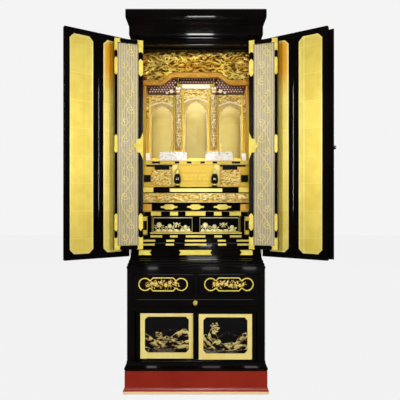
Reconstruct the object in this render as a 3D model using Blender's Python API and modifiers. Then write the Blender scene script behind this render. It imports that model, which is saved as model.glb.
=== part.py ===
"""A household altar cabinet: black lacquer outside, gold leaf inside, on a red plinth.

Metres, +Z up, the front towards -Y, the origin at the centre of the underside. Every door stands open,
as the cabinet is used. A depth is counted back from the front frame of the upper case, so what stands
ahead of that frame has a depth below zero.
"""

import math

import bmesh
import bpy
from mathutils import Matrix

LEFT, RIGHT = -1, 1
SIDES = {"left": LEFT, "right": RIGHT}
GAP = 0.0004  # between pieces that touch
RUN = 0.0012  # working gap round what slides or swings

# The whole cabinet
HEIGHT = 1.600
DEPTH = 0.500
FRONT_PROJECTION = 0.028  # cornice and plinth, ahead of the front frame
FRAME_Y = FRONT_PROJECTION - DEPTH / 2
BACK_DEPTH = DEPTH - FRONT_PROJECTION
CORNICE_TALL = 0.1165

# Upper case
UPPER_HALF = 0.2755
UPPER_WALL = 0.020
LINING_THICK = 0.0138
FACE_STILE = 0.034
OPENING_HALF = UPPER_HALF - FACE_STILE
INTERIOR_HALF = UPPER_HALF - UPPER_WALL - LINING_THICK - GAP - 0.0007
UPPER_LOW, UPPER_TOP = 0.5672, HEIGHT - CORNICE_TALL
FACE_DEPTH = 0.028
OPENING_LOW, OPENING_HIGH = UPPER_LOW + 0.0348, UPPER_TOP - 0.0235
INNER_FLOOR, INNER_CEILING = UPPER_LOW + 0.0228, OPENING_HIGH + 0.008
INNER_BACK = BACK_DEPTH - UPPER_WALL
BACK_PANEL_THICK = 0.011
SOFFIT_BACK = 0.240
SOFFIT_RIBS = ((0.046, 0.0045), (0.068, 0.0030))  # each rib's depth and drop
SOFFIT_RIB_WIDE = 0.010

# Lower case
LOWER_HALF = UPPER_HALF + 0.0115
LOWER_FRONT = -0.020
LOWER_TOP = UPPER_LOW - 0.0462
LOWER_CAVITY_BACK = BACK_DEPTH - 0.022
DRAWER_IN, DRAWER_OUT = 0.0115, LOWER_HALF - 0.025
DRAWER_HIGH = LOWER_TOP - 0.0245
DRAWER_LOW = DRAWER_HIGH - 0.0815
DRAWER_BACK = 0.400
DRAWER_BOARD = 0.008
FACE_PROUD = 0.0010
TRAY_HIGH = DRAWER_LOW - 0.0225
TRAY_LOW = TRAY_HIGH - 0.0280
TRAY_HALF = DRAWER_OUT
TRAY_BOARD = 0.007
SLIDE_LOW, SLIDE_HIGH = 0.1335, TRAY_LOW - 0.0220
SLIDE_HALF = LOWER_HALF - 0.032
SLIDE_LAP = 0.012  # each sliding door passes the middle by this much
SLIDE_PLAY = 0.003
SLIDE_THICK = 0.010
SLIDE_GROOVE = 0.003
FRONT_TRACK, REAR_TRACK = LOWER_FRONT + 0.0075, LOWER_FRONT + 0.0195

# Plinth and base moulding
PLINTH_TOP = 0.095
PLINTH_HALF = LOWER_HALF + 0.010
FOOT_HALF = PLINTH_HALF + 0.005
PLINTH_AHEAD = 0.022
PLINTH_WALL = 0.020
PLINTH_FLOOR = 0.014
STRIP_HEIGHT = 0.010
STRIP_THICK = 0.002
BASE_MOULDING_TOP = PLINTH_TOP + 0.041

# Lobed plates on the lower drawers and the gilt frames of the sliding doors
PLATE_CENTRE = (DRAWER_IN + DRAWER_OUT) / 2
PLATE_HALF, PLATE_TALL = 0.103, 0.058
PLATE_LOBE, PLATE_NECK = 0.0275, 0.0185  # the end lobes' radius and the necks' half height
PLATE_THICK = 0.0020
PLATE_LINE = 0.0045
FRAME_WIDE, FRAME_LOW, FRAME_HIGH = 0.2225, SLIDE_LOW + 0.0065, SLIDE_HIGH - 0.0125
FRAME_SIDES, FRAME_TOP, FRAME_BOTTOM = 0.019, 0.014, 0.025
FRAME_CHAMFER = 0.012
FRAME_THICK = 0.0020
FRAME_OUTER_MARGIN = 0.0180

# Outer doors: two leaves a side, which fold with their outside faces together
OUTER_PIVOT = UPPER_HALF + 0.0021
OUTER_LEAF = 0.1386
OUTER_THICK = 0.018
OUTER_LOW, OUTER_HIGH = UPPER_LOW + 0.0028, UPPER_TOP - 0.0015
OUTER_OPEN = 146.7
OUTER_REST = 0.0006  # the inside face stands this far ahead of the frame when closed
FOLD_PLAY = 0.0006
GILT_WIDE = 0.093
GILT_MARGIN_Z = 0.024
GILT_CHAMFER = 0.016
GILT_POCKET = 0.0036
GILT_SUNK = 0.0003
STRIP_LAP, STRIP_HOLD = 0.0190, 0.0100
MEETING_THICK = 0.004
KNOB_Z = 1.014

# Gauze doors: two leaves a side, which fold with their inside faces together
GAUZE_PIVOT = OPENING_HALF - 0.0018
GAUZE_PIVOT_DEPTH = 0.0005
GAUZE_SET = 0.0050
GAUZE_LEAF = 0.1180
GAUZE_THICK = 0.012
GAUZE_LOW, GAUZE_HIGH = OPENING_LOW + 0.0025, OPENING_HIGH - 0.0015
GAUZE_OPEN, GAUZE_FOLD = 149.0, 167.5
FOLD_STILE, FREE_STILE, GAUZE_RAIL = 0.012, 0.019, 0.017
CLOTH_THICK = 0.0012
ORNAMENT_Z, ORNAMENT_TALL, ORNAMENT_WIDE = 1.028, 0.056, 0.044
ORNAMENT_THICK = 0.0012

# Carved transom and its arched band
TRANSOM_DEPTH = 0.100
TRANSOM_THICK = 0.014
BAND_SIDE, BAND_CROWN, BAND_TALL = OPENING_HIGH - 0.1235, OPENING_HIGH - 0.0895, 0.0205
BAND_FLAT, BAND_RISE_END = 0.157, 0.093
CLOUD_RADIUS, CLOUD_PITCH, CLOUD_Z = 0.027, 0.060, OPENING_HIGH - 0.052

# Altar levels under the shrine, each set from the one above
TIER_BACK = INNER_BACK - BACK_PANEL_THICK - 0.0025
TIER_WALL, TIER_BOARD = 0.013, 0.009
WAIST_LOW = UPPER_LOW + 0.1683
BAND_LOW = WAIST_LOW + 0.063
LEDGE_LOW = BAND_LOW + 0.0409
PLATFORM_LOW = LEDGE_LOW + 0.028
PLATFORM_TOP = PLATFORM_LOW + 0.1216
PLATFORM_DEPTH = 0.190
LEDGE_DEPTH = PLATFORM_DEPTH - 0.043
BAND_DEPTH = LEDGE_DEPTH + 0.006
WAIST_DEPTH = LEDGE_DEPTH - 0.015
BASE_DEPTH = LEDGE_DEPTH - 0.022
INNER_DRAWER_HIGH = WAIST_LOW - 0.0055
INNER_DRAWER_LOW = INNER_DRAWER_HIGH - 0.066
INNER_DRAWER_IN, INNER_DRAWER_OUT = 0.0150, INTERIOR_HALF - 0.0486
INNER_DRAWER_DEEP = 0.260
INNER_BOARD = 0.006
STEP_TOPS = (0.032, 0.046, 0.063)  # above the inner floor, from the front
STEP_TREAD = 0.032
STEP_FRONT = BASE_DEPTH - 0.095
NEWEL_X, NEWEL_DEPTH, NEWEL_RADIUS = 0.085, PLATFORM_DEPTH - 0.024, 0.016

# Shrine on the altar
SHRINE_DEPTH = PLATFORM_DEPTH + 0.010
SHRINE_THICK = 0.012
SHRINE_HALF = INTERIOR_HALF - 0.0086
SHRINE_FLOOR, SHRINE_TOP = PLATFORM_TOP + GAP, OPENING_HIGH - 0.098
SIDE_BAY_X, SIDE_BAY_HALF, SIDE_BAY_CROWN = 0.159, 0.0485, SHRINE_TOP - 0.116
MIDDLE_BAY_HALF, MIDDLE_BAY_CROWN = 0.0510, SHRINE_TOP - 0.097
BAYS = (
    (-SIDE_BAY_X, SIDE_BAY_HALF, SIDE_BAY_CROWN),
    (0.0, MIDDLE_BAY_HALF, MIDDLE_BAY_CROWN),
    (SIDE_BAY_X, SIDE_BAY_HALF, SIDE_BAY_CROWN),
)
BAY_SPRING = SHRINE_TOP - 0.178
BAY_PEAK = 0.003  # the small point at each arch's crown
BAY_SILL = 0.012
COLUMN_X = (0.0610, 0.1010, 0.2150)
COLUMN_RADIUS = 0.0045
LINTEL_LOW, LINTEL_HIGH = SHRINE_TOP - 0.038, SHRINE_TOP - 0.017
LINTEL_PROUD = 0.008
BRACKET_IN, BRACKET_OUT = 0.083, INTERIOR_HALF - 0.0116
BRACKET_LOW, BRACKET_HIGH = SHRINE_TOP - 0.066, SHRINE_TOP + 0.010
BRACKET_ROWS, BRACKET_RISE, BRACKET_TALL = 4, 0.0185, 0.0105
BRACKET_FRONT, BRACKET_STEP = SHRINE_DEPTH - 0.028, 0.009
CARVED_COLUMN_X, CARVED_COLUMN_RADIUS = 0.081, 0.012
CARVED_COLUMN_LOW, CARVED_COLUMN_HIGH = SHRINE_FLOOR + 0.0506, BRACKET_LOW - 0.0015
BASE_IN, BASE_OUT, BASE_TALL = 0.043, 0.168, 0.050


def rgb(red, green, blue):
    """A colour given as 0 to 255, as the linear values that a shader takes."""
    return tuple(((value / 255 + 0.055) / 1.055) ** 2.4 for value in (red, green, blue)) + (1.0,)


FINISHES = {
    "black_lacquer": (rgb(12, 11, 11), 0.12, 0.0),
    "red_lacquer": (rgb(135, 32, 15), 0.30, 0.0),
    "gold_leaf": (rgb(228, 200, 92), 0.34, 1.0),
    "carved_gold": (rgb(222, 176, 60), 0.38, 1.0),
    "brass": (rgb(232, 212, 110), 0.28, 1.0),
    "bracket_wood": (rgb(92, 36, 18), 0.45, 0.0),
    "carved_white": (rgb(226, 196, 170), 0.50, 0.0),
    "gauze": (rgb(170, 155, 115), 0.70, 0.0),
    "grey_metal": (rgb(140, 138, 134), 0.35, 1.0),
}


def clear_scene():
    for old in list(bpy.data.objects):
        bpy.data.objects.remove(old, do_unlink=True)


def collection(name):
    made = bpy.data.collections.new(name)
    bpy.context.scene.collection.children.link(made)
    return made


def material(name, finish):
    colour, roughness, metallic = FINISHES[finish]
    made = bpy.data.materials.new(name)
    made.use_nodes = True
    shader = made.node_tree.nodes["Principled BSDF"]
    shader.inputs["Base Color"].default_value = colour
    shader.inputs["Roughness"].default_value = roughness
    shader.inputs["Metallic"].default_value = metallic
    return made


def at_depth(depth):
    """The world Y of a depth behind the front frame."""
    return FRAME_Y + depth


def guide(mesh, name, parent=None):
    """A cutter or a joined shape, which is neither rendered nor exported."""
    obj = bpy.data.objects.new(name, mesh)
    bpy.data.collections["guides"].objects.link(obj)
    obj.hide_render = True
    obj.display_type = "WIRE"
    obj.parent = parent
    return obj


def piece(mesh, name, finish, parent=None):
    obj = bpy.data.objects.new(name, mesh)
    bpy.data.collections["altar_cabinet"].objects.link(obj)
    obj.data.materials.append(material(name + "_finish", finish))
    obj.parent = parent
    return obj


def pivot(name, x, y, angle=0.0, parent=None):
    """An empty on a joint's axis, turned to the angle that the leaf has at rest."""
    made = bpy.data.objects.new(name, None)
    bpy.data.collections["altar_cabinet"].objects.link(made)
    made.location = (x, y, 0)
    made.rotation_euler = (0, 0, math.radians(angle))
    made.parent = parent
    return made


def mesh_of(form, name):
    made = bpy.data.meshes.new(name)
    bmesh.ops.recalc_face_normals(form, faces=form.faces)
    form.to_mesh(made)
    form.free()
    return made


def box_mesh(low, high, name="box"):
    form = bmesh.new()
    size = [b - a for a, b in zip(low, high)]
    centre = [(a + b) / 2 for a, b in zip(low, high)]
    bmesh.ops.create_cube(form, size=1, matrix=Matrix.Translation(centre) @ Matrix.Diagonal((*size, 1)))
    return mesh_of(form, name)


def slab(half, front, back, low, high):
    """A box centred on X, between two depths and two heights."""
    return box_mesh((-half, at_depth(front), low), (half, at_depth(back), high))


def span(side, near, far):
    """Two distances from the middle on one side, as X from low to high."""
    return sorted((side * near, side * far))


def side_box(side, near, far, front, back, low, high):
    x_low, x_high = span(side, near, far)
    return box_mesh((x_low, at_depth(front), low), (x_high, at_depth(back), high))


def moulding_mesh(profile):
    """A moulding carried round the front and both sides. The profile runs upwards, each point a half
    width, a distance ahead of the frame and a height."""
    form = bmesh.new()
    rings = []
    for half, ahead, height in profile:
        front, back = at_depth(-ahead), at_depth(BACK_DEPTH)
        corners = ((-half, front), (half, front), (half, back), (-half, back))
        rings.append([form.verts.new((x, y, height)) for x, y in corners])
    for lower, upper in zip(rings, rings[1:]):
        for i in range(4):
            form.faces.new((lower[i], lower[i - 3], upper[i - 3], upper[i]))
    form.faces.new(rings[0][::-1])
    form.faces.new(rings[-1])
    return mesh_of(form, "moulding")


# How an outline's two axes and its thickness lie in the cabinet
ACROSS_FRONT = Matrix(((1, 0, 0, 0), (0, 0, 1, 0), (0, 1, 0, 0), (0, 0, 0, 1)))
FLAT_ON_FLOOR = Matrix.Identity(4)
SIDE_ON = Matrix(((0, 0, 1, 0), (1, 0, 0, 0), (0, 1, 0, 0), (0, 0, 0, 1)))


def plate_mesh(outlines, low, high, lie=ACROSS_FRONT):
    """A flat outline, holes included, given thickness from low to high."""
    curve = bpy.data.curves.new("outline", "CURVE")
    curve.dimensions = "2D"
    curve.fill_mode = "BOTH"
    curve.extrude = (high - low) / 2
    for outline in outlines:
        spline = curve.splines.new("POLY")
        spline.points.add(len(outline) - 1)
        for point, (a, b) in zip(spline.points, outline):
            point.co = (a, b, 0, 1)
        spline.use_cyclic_u = True
    holder = bpy.data.objects.new("outline", curve)
    bpy.context.scene.collection.objects.link(holder)
    made = bpy.data.meshes.new_from_object(holder.evaluated_get(bpy.context.evaluated_depsgraph_get()))
    bpy.data.objects.remove(holder)
    form = bmesh.new()
    form.from_mesh(made)
    bpy.data.meshes.remove(made)
    bmesh.ops.remove_doubles(form, verts=form.verts, dist=1e-6)
    bmesh.ops.transform(form, verts=form.verts, matrix=lie @ Matrix.Translation((0, 0, (low + high) / 2)))
    return mesh_of(form, "plate")


def turned(profile, steps, name, finish, axis="Z", parent=None):
    """A turned form: the profile runs from the top down, as radius and height."""
    form = bmesh.new()
    points = [form.verts.new((radius, 0, height)) for radius, height in profile]
    for first, second in zip(points, points[1:]):
        form.edges.new((first, second))
    made = bpy.data.meshes.new(name)
    form.to_mesh(made)
    form.free()
    obj = piece(made, name, finish, parent)
    screw = obj.modifiers.new("turned", "SCREW")
    screw.steps = steps
    screw.render_steps = steps
    screw.use_merge_vertices = True
    screw.merge_threshold = 1e-5
    screw.use_smooth_shade = True
    if axis == "-Y":
        obj.rotation_euler = (math.pi / 2, 0, 0)
    elif axis == "Y":
        obj.rotation_euler = (-math.pi / 2, 0, 0)
    return obj


def boolean(obj, mesh, operation, parent=None, solver="EXACT"):
    tool = guide(mesh, obj.name + "_" + operation.lower(), parent)
    modifier = obj.modifiers.new(tool.name, "BOOLEAN")
    modifier.operation = operation
    modifier.solver = solver
    modifier.object = tool
    return obj


def cut(obj, *meshes, parent=None):
    for mesh in meshes:
        boolean(obj, mesh, "DIFFERENCE", parent)


def join(obj, *meshes, parent=None):
    for mesh in meshes:
        boolean(obj, mesh, "UNION", parent)


def soften(obj, width=0.0008, segments=1):
    bevel = obj.modifiers.new("soft edges", "BEVEL")
    bevel.width = width
    bevel.segments = segments
    bevel.limit_method = "ANGLE"
    bevel.angle_limit = math.radians(40)
    return obj


def lobes(centres, radii, squash, segments=8, rings=6):
    """One mesh for each rounded carved lobe, flattened front to back."""
    made = []
    for (x, y, z), radius in zip(centres, radii):
        form = bmesh.new()
        place = Matrix.Translation((x, y, z)) @ Matrix.Diagonal((radius, radius * squash, radius, 1))
        bmesh.ops.create_uvsphere(form, u_segments=segments, v_segments=rings, radius=1, matrix=place)
        made.append(mesh_of(form, "lobe"))
    return made


def rectangle(x_low, x_high, z_low, z_high):
    return [(x_low, z_low), (x_high, z_low), (x_high, z_high), (x_low, z_high)]


def chamfered(x_low, x_high, z_low, z_high, corner):
    return [
        (x_low + corner, z_low),
        (x_high - corner, z_low),
        (x_high, z_low + corner),
        (x_high, z_high - corner),
        (x_high - corner, z_high),
        (x_low + corner, z_high),
        (x_low, z_high - corner),
        (x_low, z_low + corner),
    ]


def arc(centre_x, centre_z, radius, start, end, steps, squash=1.0):
    """Points round an arc, angles in degrees."""
    angles = [math.radians(start + (end - start) * i / steps) for i in range(steps + 1)]
    return [(centre_x + radius * math.cos(a), centre_z + radius * squash * math.sin(a)) for a in angles]


def build_plinth():
    front = FRONT_PROJECTION - STRIP_THICK - GAP
    profile = (
        (FOOT_HALF, front, 0.0),
        (FOOT_HALF, front, STRIP_HEIGHT + 0.003),
        (FOOT_HALF - 0.0010, front - 0.0008, STRIP_HEIGHT + 0.008),
        (PLINTH_HALF + 0.0010, PLINTH_AHEAD + 0.0008, STRIP_HEIGHT + 0.014),
        (PLINTH_HALF, PLINTH_AHEAD, STRIP_HEIGHT + 0.021),
        (PLINTH_HALF, PLINTH_AHEAD, PLINTH_TOP),
    )
    plinth = piece(moulding_mesh(profile), "plinth", "red_lacquer")
    inside = PLINTH_HALF - PLINTH_WALL
    cut(plinth, slab(inside, 0.0, BACK_DEPTH - PLINTH_WALL, PLINTH_FLOOR, PLINTH_TOP + 0.01))
    outer, inner = FOOT_HALF + STRIP_THICK, FOOT_HALF + GAP
    y_out, y_in = at_depth(-front - STRIP_THICK), at_depth(-front - GAP)
    y_back = at_depth(BACK_DEPTH)
    outline = [(-outer, y_back), (-outer, y_out), (outer, y_out), (outer, y_back)]
    outline += [(inner, y_back), (inner, y_in), (-inner, y_in), (-inner, y_back)]
    strip = plate_mesh([outline], 0.0015, 0.0015 + STRIP_HEIGHT, FLAT_ON_FLOOR)
    piece(strip, "plinth_strip", "brass")


def build_base_moulding():
    low = PLINTH_TOP + GAP
    shape = (  # each point beyond the lower case and above the plinth
        (0.0075, 0.0025, low - PLINTH_TOP),
        (0.0075, 0.0025, 0.0040),
        (0.0120, 0.0070, 0.0080),
        (0.0105, 0.0055, 0.0140),
        (0.0055, 0.0035, 0.0230),
        (0.0025, 0.0020, 0.0330),
        (0.0015, 0.0015, BASE_MOULDING_TOP - PLINTH_TOP),
    )
    profile = [(LOWER_HALF + out, ahead - LOWER_FRONT, PLINTH_TOP + rise) for out, ahead, rise in shape]
    moulding = piece(moulding_mesh(profile), "base_moulding", "black_lacquer")
    half = LOWER_HALF + GAP
    cut(moulding, slab(half, LOWER_FRONT - GAP, BACK_DEPTH + 0.01, low - 0.01, BASE_MOULDING_TOP + 0.01))


def build_lower_case():
    low = PLINTH_TOP + GAP
    case = piece(slab(LOWER_HALF, LOWER_FRONT, BACK_DEPTH, low, LOWER_TOP), "lower_case", "black_lacquer")
    front = LOWER_FRONT - 0.01
    for side in SIDES.values():
        hole = (side, DRAWER_IN - RUN, DRAWER_OUT + RUN, front, DRAWER_BACK, DRAWER_LOW - RUN, DRAWER_HIGH + RUN)
        cut(case, side_box(*hole))
    cut(case, slab(TRAY_HALF + RUN, front, DRAWER_BACK, TRAY_LOW - RUN, TRAY_HIGH + RUN))
    cut(case, slab(SLIDE_HALF, front, LOWER_CAVITY_BACK, SLIDE_LOW, SLIDE_HIGH))
    for track in (FRONT_TRACK, REAR_TRACK):
        low, high = SLIDE_LOW - SLIDE_GROOVE, SLIDE_HIGH + SLIDE_GROOVE
        cut(case, slab(SLIDE_HALF - 0.001, track - 0.0005, track + SLIDE_THICK + 0.0005, low, high))


def drawer(name, x_low, x_high, front, back, low, high, wall):
    """A hollow drawer, open at the top."""
    y_front, y_back = at_depth(front), at_depth(back)
    made = piece(box_mesh((x_low, y_front, low), (x_high, y_back, high)), name, "black_lacquer")
    hollow_low = (x_low + wall, y_front + 2 * wall, low + wall)
    hollow_high = (x_high - wall, y_back - wall, high + 0.01)
    cut(made, box_mesh(hollow_low, hollow_high))
    return soften(made)


def lobed_outline(centre_x, centre_z, half, tall, inset):
    """A plate with a straight middle, a short neck and one round lobe at each end."""
    lobe_x = half - PLATE_LOBE
    radius, neck, rise = PLATE_LOBE - inset, PLATE_NECK - inset, tall / 2 - inset
    turn = math.degrees(math.asin(neck / radius))
    body = lobe_x - PLATE_LOBE * 0.82 - inset * 0.4
    corner = body - 0.010
    right = [(corner, -rise), (body, -neck)]
    right += arc(lobe_x, 0, radius, turn - 180, 180 - turn, 16)
    right += [(body, neck), (corner, rise)]
    left = [(-x, -z) for x, z in right]
    return [(centre_x + x, centre_z + z) for x, z in right + left]


def build_lower_drawers():
    z_middle = (DRAWER_LOW + DRAWER_HIGH) / 2
    for name, side in SIDES.items():
        x_low, x_high = span(side, DRAWER_IN, DRAWER_OUT)
        front = LOWER_FRONT - FACE_PROUD
        back = DRAWER_BACK - 0.004
        drawer("drawer_" + name, x_low, x_high, front, back, DRAWER_LOW, DRAWER_HIGH, DRAWER_BOARD)
        outer = lobed_outline(side * PLATE_CENTRE, z_middle, PLATE_HALF, PLATE_TALL, 0.0)
        inner = lobed_outline(side * PLATE_CENTRE, z_middle, PLATE_HALF, PLATE_TALL, PLATE_LINE)
        face = at_depth(front) - GAP
        plate = plate_mesh([outer, inner], face - PLATE_THICK, face)
        piece(plate, "drawer_plate_" + name, "brass")


def build_tray():
    front = LOWER_FRONT - FACE_PROUD
    drawer("tray", -TRAY_HALF, TRAY_HALF, front, DRAWER_BACK - 0.004, TRAY_LOW, TRAY_HIGH, TRAY_BOARD)
    profile = ((0.0, 0.020), (0.0055, 0.0185), (0.0085, 0.0150), (0.0090, 0.0115), (0.0065, 0.0080))
    profile += ((0.0042, 0.0050), (0.0058, 0.0022), (0.0095, 0.0010), (0.0095, 0.0), (0.0, 0.0))
    knob = turned(profile, 12, "tray_knob", "brass", "-Y")
    knob.location = (-0.0025, at_depth(front) - GAP, (TRAY_LOW + TRAY_HIGH) / 2)


def build_sliding_doors():
    """The left door runs in the rear track and the right one in the front track."""
    for name, side in SIDES.items():
        track = FRONT_TRACK if side == RIGHT else REAR_TRACK
        outer_edge = SLIDE_HALF - SLIDE_PLAY
        x_low, x_high = sorted((side * outer_edge, -side * SLIDE_LAP))
        low = (x_low, at_depth(track), SLIDE_LOW - SLIDE_GROOVE + 0.0008)
        high = (x_high, at_depth(track + SLIDE_THICK), SLIDE_HIGH + SLIDE_GROOVE - 0.0008)
        door = piece(box_mesh(low, high), "sliding_door_" + name, "black_lacquer")
        recess = FRAME_THICK + 0.0006
        edge = outer_edge - FRAME_OUTER_MARGIN
        f_low, f_high = sorted((side * edge, side * (edge - FRAME_WIDE)))
        pocket = rectangle(f_low - GAP, f_high + GAP, FRAME_LOW - GAP, FRAME_HIGH + GAP)
        cut(door, plate_mesh([pocket], at_depth(track) - 0.01, at_depth(track) + recess))
        outer = rectangle(f_low, f_high, FRAME_LOW, FRAME_HIGH)
        inner = chamfered(
            f_low + FRAME_SIDES, f_high - FRAME_SIDES, FRAME_LOW + FRAME_BOTTOM, FRAME_HIGH - FRAME_TOP, FRAME_CHAMFER
        )
        frame = plate_mesh([outer, inner], at_depth(track) + 0.0002, at_depth(track) + recess - GAP)
        piece(frame, "sliding_frame_" + name, "gold_leaf")


def build_waist_moulding():
    low, high = LOWER_TOP + GAP, UPPER_LOW - GAP
    shape = (  # each point beyond the upper case and above the lower one
        (0.0130, 0.0215, low - LOWER_TOP),
        (0.0130, 0.0215, 0.0090),
        (0.0100, 0.0180, 0.0120),
        (0.0100, 0.0180, 0.0190),
        (0.0055, 0.0135, 0.0250),
        (0.0055, 0.0135, 0.0315),
        (0.0023, 0.0080, 0.0350),
        (0.0023, 0.0080, 0.0390),
        (0.0002, 0.0030, 0.0420),
        (0.0002, 0.0030, high - LOWER_TOP),
    )
    profile = [(UPPER_HALF + out, ahead, LOWER_TOP + rise) for out, ahead, rise in shape]
    moulding = piece(moulding_mesh(profile), "waist_moulding", "black_lacquer")
    border = 0.030
    cut(moulding, slab(UPPER_HALF - border, border, BACK_DEPTH - border, low - 0.01, high + 0.01))


def build_upper_case():
    case = piece(slab(UPPER_HALF, 0, BACK_DEPTH, UPPER_LOW, UPPER_TOP), "upper_case", "black_lacquer")
    cut(case, slab(OPENING_HALF, -0.01, FACE_DEPTH + 0.01, OPENING_LOW, OPENING_HIGH))
    cut(case, slab(UPPER_HALF - UPPER_WALL, FACE_DEPTH, INNER_BACK, INNER_FLOOR, INNER_CEILING))
    front, back = FACE_DEPTH + GAP, INNER_BACK - GAP
    low, high = INNER_FLOOR + GAP, INNER_CEILING - GAP
    for name, side in SIDES.items():
        far = UPPER_HALF - UPPER_WALL - GAP
        lining = side_box(side, far - LINING_THICK, far, front, back, low, high)
        piece(lining, "side_lining_" + name, "gold_leaf")
    panel = slab(INTERIOR_HALF, back - BACK_PANEL_THICK, back, low, high)
    piece(panel, "back_panel", "gold_leaf")
    ceiling = OPENING_HIGH + GAP
    soffit = piece(slab(INTERIOR_HALF, front, SOFFIT_BACK, ceiling, high), "soffit", "black_lacquer")
    for rib_front, drop in SOFFIT_RIBS:
        rib_back = rib_front + SOFFIT_RIB_WIDE
        join(soffit, slab(INTERIOR_HALF, rib_front, rib_back, ceiling - drop, ceiling + 0.003))


def build_cornice():
    shape = (  # each point beyond the upper case and below the top
        (0.0000, 0.0000, CORNICE_TALL - GAP),
        (0.0010, 0.0080, 0.1125),
        (0.0035, 0.0190, 0.1062),
        (0.0035, 0.0190, 0.0670),
        (0.0060, 0.0205, 0.0620),
        (0.0095, 0.0220, 0.0530),
        (0.0145, 0.0250, 0.0440),
        (0.0170, 0.0272, 0.0360),
        (0.0175, FRONT_PROJECTION, 0.0310),
        (0.0175, FRONT_PROJECTION, 0.0030),
        (0.0150, 0.0255, 0.0),
    )
    profile = [(UPPER_HALF + out, ahead, HEIGHT - drop) for out, ahead, drop in shape]
    cornice = piece(moulding_mesh(profile), "cornice", "black_lacquer")
    board = 0.018
    inside = UPPER_HALF - UPPER_WALL
    cut(cornice, slab(inside, board, BACK_DEPTH - UPPER_WALL, UPPER_TOP - 0.01, HEIGHT - board))


def build_outer_doors():
    face = -OUTER_REST
    for name, side in SIDES.items():
        inner = pivot("outer_pivot_" + name, side * OUTER_PIVOT, at_depth(0), side * OUTER_OPEN)
        fold_y = face - OUTER_THICK - FOLD_PLAY
        fold = pivot("fold_pivot_" + name, -side * OUTER_LEAF, fold_y, 0, inner)
        for leaf, parent, y_face, start in (("inner", inner, face, RUN), ("fold", fold, face - fold_y, FOLD_PLAY)):
            end = OUTER_LEAF - FOLD_PLAY
            x_low, x_high = sorted((-side * start, -side * end))
            low = (x_low, y_face - OUTER_THICK, OUTER_LOW)
            high = (x_high, y_face, OUTER_HIGH)
            door = piece(box_mesh(low, high), f"outer_door_{name}_{leaf}", "black_lacquer", parent)
            centre = (x_low + x_high) / 2
            span_x = (centre - GILT_WIDE / 2, centre + GILT_WIDE / 2)
            span_z = (OUTER_LOW + GILT_MARGIN_Z, OUTER_HIGH - GILT_MARGIN_Z)
            pocket = chamfered(span_x[0] - GAP, span_x[1] + GAP, span_z[0] - GAP, span_z[1] + GAP, GILT_CHAMFER)
            cut(door, plate_mesh([pocket], y_face - GILT_POCKET, y_face + 0.01), parent=parent)
            soften(door, 0.0012)
            outline = chamfered(*span_x, *span_z, GILT_CHAMFER)
            panel = plate_mesh([outline], y_face - GILT_POCKET + GAP, y_face - GILT_SUNK)
            gilt = piece(panel, f"gilt_panel_{name}_{leaf}", "gold_leaf", parent)
            soften(gilt, 0.0018)
        if side == RIGHT:
            build_meeting_strip(side, fold, face - fold_y)


def build_meeting_strip(side, fold, y_face):
    """It laps the middle joint from outside, and carries the pull knob."""
    back = y_face - OUTER_THICK - GAP
    edge = OUTER_LEAF - FOLD_PLAY
    near, far = edge - STRIP_HOLD, edge + STRIP_LAP
    x_low, x_high = sorted((-side * near, -side * far))
    low = (x_low, back - MEETING_THICK, OUTER_LOW + 0.004)
    strip = piece(box_mesh(low, (x_high, back, OUTER_HIGH - 0.010)), "meeting_strip", "black_lacquer", fold)
    soften(strip, 0.001)
    profile = ((0.0, 0.036), (0.0060, 0.0350), (0.0085, 0.0315), (0.0085, 0.0270), (0.0050, 0.0240))
    profile += ((0.0038, 0.0180), (0.0038, 0.0060), (0.0075, 0.0030), (0.0075, 0.0), (0.0, 0.0))
    knob = turned(profile, 12, "door_knob", "grey_metal", "-Y", fold)
    knob.location = (-side * (far - 0.0080), back - MEETING_THICK - GAP, KNOB_Z)


def half_star(edge_x, direction):
    """Half of an eight-pointed star, its long points up and down along the leaf's free edge."""
    points = []
    reaches = ((90, ORNAMENT_TALL), (135, ORNAMENT_WIDE * 0.86), (180, ORNAMENT_WIDE))
    reaches += ((225, ORNAMENT_WIDE * 0.86), (270, ORNAMENT_TALL))
    valley = ORNAMENT_WIDE * 0.70
    for i, (angle, reach) in enumerate(reaches):
        if i:
            between = math.radians(angle - 22.5)
            points.append((valley * math.cos(between), valley * math.sin(between)))
        points.append((reach * math.cos(math.radians(angle)), reach * math.sin(math.radians(angle))))
    return [(edge_x + direction * x, ORNAMENT_Z + z) for x, z in points]


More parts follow.
